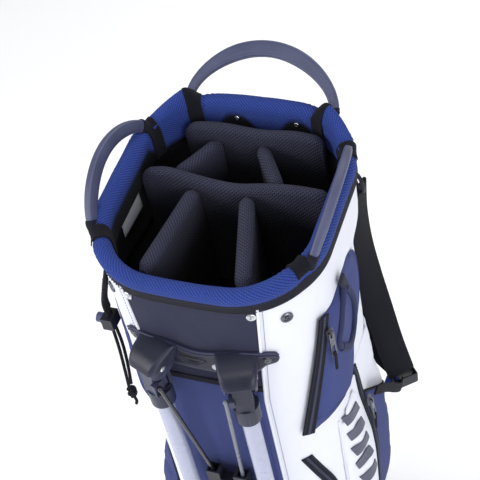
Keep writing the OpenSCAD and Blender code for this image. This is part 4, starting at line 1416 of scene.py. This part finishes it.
def make_hood(name, side):
    """Hood over a leg's head: a sloping cover, and two rounded cheeks that hold the pin."""
    profile = spline([(17, 18.4), (13, 18.2), (7, 17), (0.5, 15), (-5.5, 12.6), (-10.5, 9), (-13.8, 5),
                      (-15.3, 1)], 5)
    rows = []
    for front, up in profile:
        half = 15.6 + 3.6 * np.clip((up - 1) / 17, 0, 1) ** 1.3
        turn = min(5.0, (20 - front) / 2)
        left = [(-half, y) for y in np.linspace(20, front + turn, 5)[:-1]]
        for a in np.linspace(0, np.pi / 2, 7):
            left.append((-half + turn * (1 - math.cos(a)), front + turn * (1 - math.sin(a))))
        right = [(-x, y) for x, y in reversed(left[4:])] + [(-x, y) for x, y in reversed(left[:4])]
        middle = [(x, front) for x in np.linspace(-half + turn, half - turn, 8)[1:-1]]
        rows.append([(x, y, up) for x, y in left + middle + right])
    thicken(grid("hood_" + name, at_leg(rows, side)[::-1], slate_plastic), 1.5)
    outline = spline([(-15.0, 2.5), (-14.6, -2), (-12.5, -7), (-8.5, -10.5), (-3, -12.6), (3, -12.6),
                      (9, -10.5), (14, -7), (17, -2), (18, 3)], 4)
    centre_line = outline.mean(0)
    pin = [(5.2, 0), (5.1, 1.0), (4.2, 1.4), (3.9, 0.6), (3.6, 0.6), (3.5, 1.4), (2.6, 1.9), (0.9, 1.8),
           (0.7, 1.0), (0.05, 1.0)]
    pin_reach = 3.8
    for place in (-1, 1):
        rings = []
        for across, size in ((13.95, 0.98), (14.2, 1.0), (15.2, 1.0), (15.7, 0.96)):
            rings.append([(place * across, y, z) for y, z in centre_line + (outline - centre_line) * size])
        bar(f"hood_cheek_{name}_{place + 1}", at_leg(rings, side), slate_plastic)
        centre = at_leg([place * 15.5, 0, 0], side)
        axis = at_leg([place * 30, 0, 0], side) - centre
        head = grid(f"pin_head_{name}_{place + 1}", lathe(centre, axis, pin), [slate_plastic, steel],
                    ring_v=True)
        paint_faces(head, lambda p: int(np.linalg.norm(np.cross(p - centre, units(axis))) < pin_reach))
        if side > 0 and place > 0:
            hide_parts("pivot_pins")


def make_bracket_details():
    """Bracket: a band with a raised double lip, ears, two slots, and a hood over each leg's head."""
    top = spline([(-79, 11), (-77, 15.5), (-66, 18.5), (-48, 19.5), (-34, 17), (-16, 11), (0, 8.5), (16, 11),
                  (34, 17), (48, 19.5), (66, 18.5), (77, 15.5), (79, 11)], 8)
    foot = spline([(-79, 7), (-76, 2.5), (-66, 0), (-58, -8), (-44, -15), (-20, -19), (0, -20), (20, -19),
                   (44, -15), (58, -8), (66, 0), (76, 2.5), (79, 7)], 8)
    share = np.linspace(0, 1, 10)[None]
    x = np.linspace(-79, 79, 150)
    high = np.interp(x, top[:, 0], top[:, 1])[:, None]
    low = np.interp(x, foot[:, 0], foot[:, 1])[:, None]
    surface = off_body(3.4, False)
    band = grid("bracket_band", surface(x[:, None], pivot_z + low + (high - low) * share), slate_plastic)
    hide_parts("stand_bracket")
    thicken(band, 2.6)
    for number, drop in ((0, 0.4), (1, 4.4)):
        path = np.stack([top[:, 0], pivot_z + top[:, 1] - drop], -1)[5:-5]
        bar(f"bracket_lip_{number}", strip(surface, path, cord_shape(1.2, 0.2)), slate_plastic)
    slots = (([(-22, -1.5), (1, -3.5)], 2.2, rubber), ([(-14, -8.5), (-3, -9.5)], 2.2, rubber),
             ([(-25, -4), (-15, -13), (-4, -14), (6, -6), (-2, -1)], 1.2, slate_plastic))
    for number, (line, wide, finish) in enumerate(slots):
        path = even(np.array(line, float) + (0, pivot_z), 2)
        rings = strip(surface, path, tape_shape(wide, 0.5, 0.1))
        bar(f"bracket_slot_{number}", rings, finish)
    profile = [(4.2, 0), (4.1, 1.0), (3.2, 1.4), (3.0, 0.8), (2.9, 1.7), (1.2, 2.0), (0.9, 1.2), (0.05, 1.1)]
    spots = ((-33, -5, steel), (15, -10.5, steel), (-68, 8.5, gunmetal), (68, 8.5, gunmetal))
    for number, (u, up, finish) in enumerate(spots):
        screw = on_body(f"bracket_screw_{number}", u, pivot_z + up, 3.4, profile, finish)
        if number == 0:
            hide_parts("bracket_screws")
    for name, side in SIDES:
        make_hood(name, side)


def make_pull_cords():
    """Short loop of cord through each zip pull."""
    for node, body, turn in (("apparel_pull", "apparel_pull", 62), ("ball_pull", "ball_pull", 90),
                             ("left_pull", "cooler_pull", -90)):
        low, high = corners(node)
        foot = np.array([(low[0] + high[0]) / 2, (low[1] + high[1]) / 2, low[2] + 6])
        outward = np.array([math.sin(math.radians(turn)), -math.cos(math.radians(turn)), 0])
        stops = ((1.6, 0), (1.8, -8), (1.2, -18), (1.0, -27))
        line = spline([foot + outward * out + (0, 0, drop) for out, drop in stops], 6)
        rings = sweep(line, oval(3.4, 2.6, 10, 0.8), (outward[1], -outward[0], 0))
        bar(node + "_cord", rings, braid, body=body)


def dress_frame():
    """Finishes for the CAD nodes that stay in view, with the width of their rounded edges."""
    looks = (
        (slate_plastic, 0.7, 30, "leg_cap_left leg_cap_right"),
        (white_tube, 0.3, 35, "leg_tube_left leg_tube_right"),
        (rubber, 0.8, 35, "leg_foot_left leg_foot_right foot_plate"),
        (rod_dark, 0, 35, "rod_left"),
        (rod_grey, 0, 35, "rod_right"),
        (black_plastic, 0.9, 30, "coupler"),
        (glass_rod, 0.2, 35, "push_rod"),
        (black_plastic, 0.6, 35, "rod_guides"),
        (black_plastic, 1.6, 40, "base_shell"),
        (steel, 0.3, 35, "hinge_pin"),
        (black_plastic, 1.6, 30, "strap_buckles"),
        (black_plastic, 1.4, 30, "cord_lock"),
        (button_blue, 0.8, 35, "cord_button"),
        (black_lining, 0, 35, "cuff_frame"),
        (gunmetal, 0.3, 35, "apparel_slider apparel_pull ball_slider ball_pull left_slider left_pull"),
    )
    for finish, bevel, angle, nodes in looks:
        for node in nodes.split():
            dress(node, finish, bevel, angle)
    dress("frame_stays", white_tube, 0.3)


def make_eyelets():
    """Snaps on the front corners and small rivets beside the yoke's seams, each in a raised ring."""
    spots = ((front_corner(-48), 768, 4.2, gunmetal), (62, 780, 2.8, steel))
    for name, side in SIDES:
        for number, (u, z, radius, finish) in enumerate(spots):
            profile = [(radius + 2.0, -0.5), (radius + 1.9, 0.6), (radius + 0.9, 1.3), (radius - 0.2, 1.0),
                       (radius - 0.6, 0.2), (radius * 0.5, 0.1), (radius * 0.46, 1.2), (radius * 0.3, 1.4),
                       (radius * 0.24, 0.6), (0.05, 0.5)]
            ring = on_body(f"snap_{name}_{number}", side * u, z, 1.2, profile, finish)
            if side > 0 and number == 0:
                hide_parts("rivets")


def make_floor():
    """Pale mottled floor, wide enough to reach past every view."""
    made, tree, shader = new_finish("floor", roughness=0.9, emission_strength=0.17)
    shader.inputs["Emission Color"].default_value = (1, 1, 1, 1)
    spots = mottle(tree, position(tree, False), 400)
    colour = mix(tree, spots, (0.93, 0.94, 0.96, 1), (0.97, 0.975, 0.985, 1))
    tree.links.new(colour, shader.inputs["Base Color"])
    mesh = bpy.data.meshes.new("floor")
    reach = 12.0
    ends = [(-reach, -reach, 0), (reach, -reach, 0), (reach, reach, 0), (-reach, reach, 0)]
    mesh.from_pydata(ends, [], [(0, 1, 2, 3)])
    mesh.materials.append(made)
    floor = bpy.data.objects.new("floor", mesh)
    bpy.context.scene.collection.objects.link(floor)


# ---------- the whole bag ----------

make_camera()
make_umbrella_cord()
make_studio()
make_roll()
make_trim()
make_wraps()
make_wings()
make_handles()
make_dividers()
make_lining()
make_inner_rivets()
make_panels()
make_seams()
make_leaf("right", 1)
make_leaf("left", -1)
zip_line("apparel_zip", off_body(5.0), [(129, 742), (119, 700), (109, 661), (99, 620), (91, 586)])
zip_line("lower_zip", off_body(1.2), [(85, 540), (96, 508), (106, 478), (113, 440), (117, 400), (118, 340)])
make_ball_pocket()
make_left_pockets()
make_hip_pad()
make_rings()
make_straps()
make_bracket_details()
make_pull_cords()
make_eyelets()
dress_frame()
make_floor()
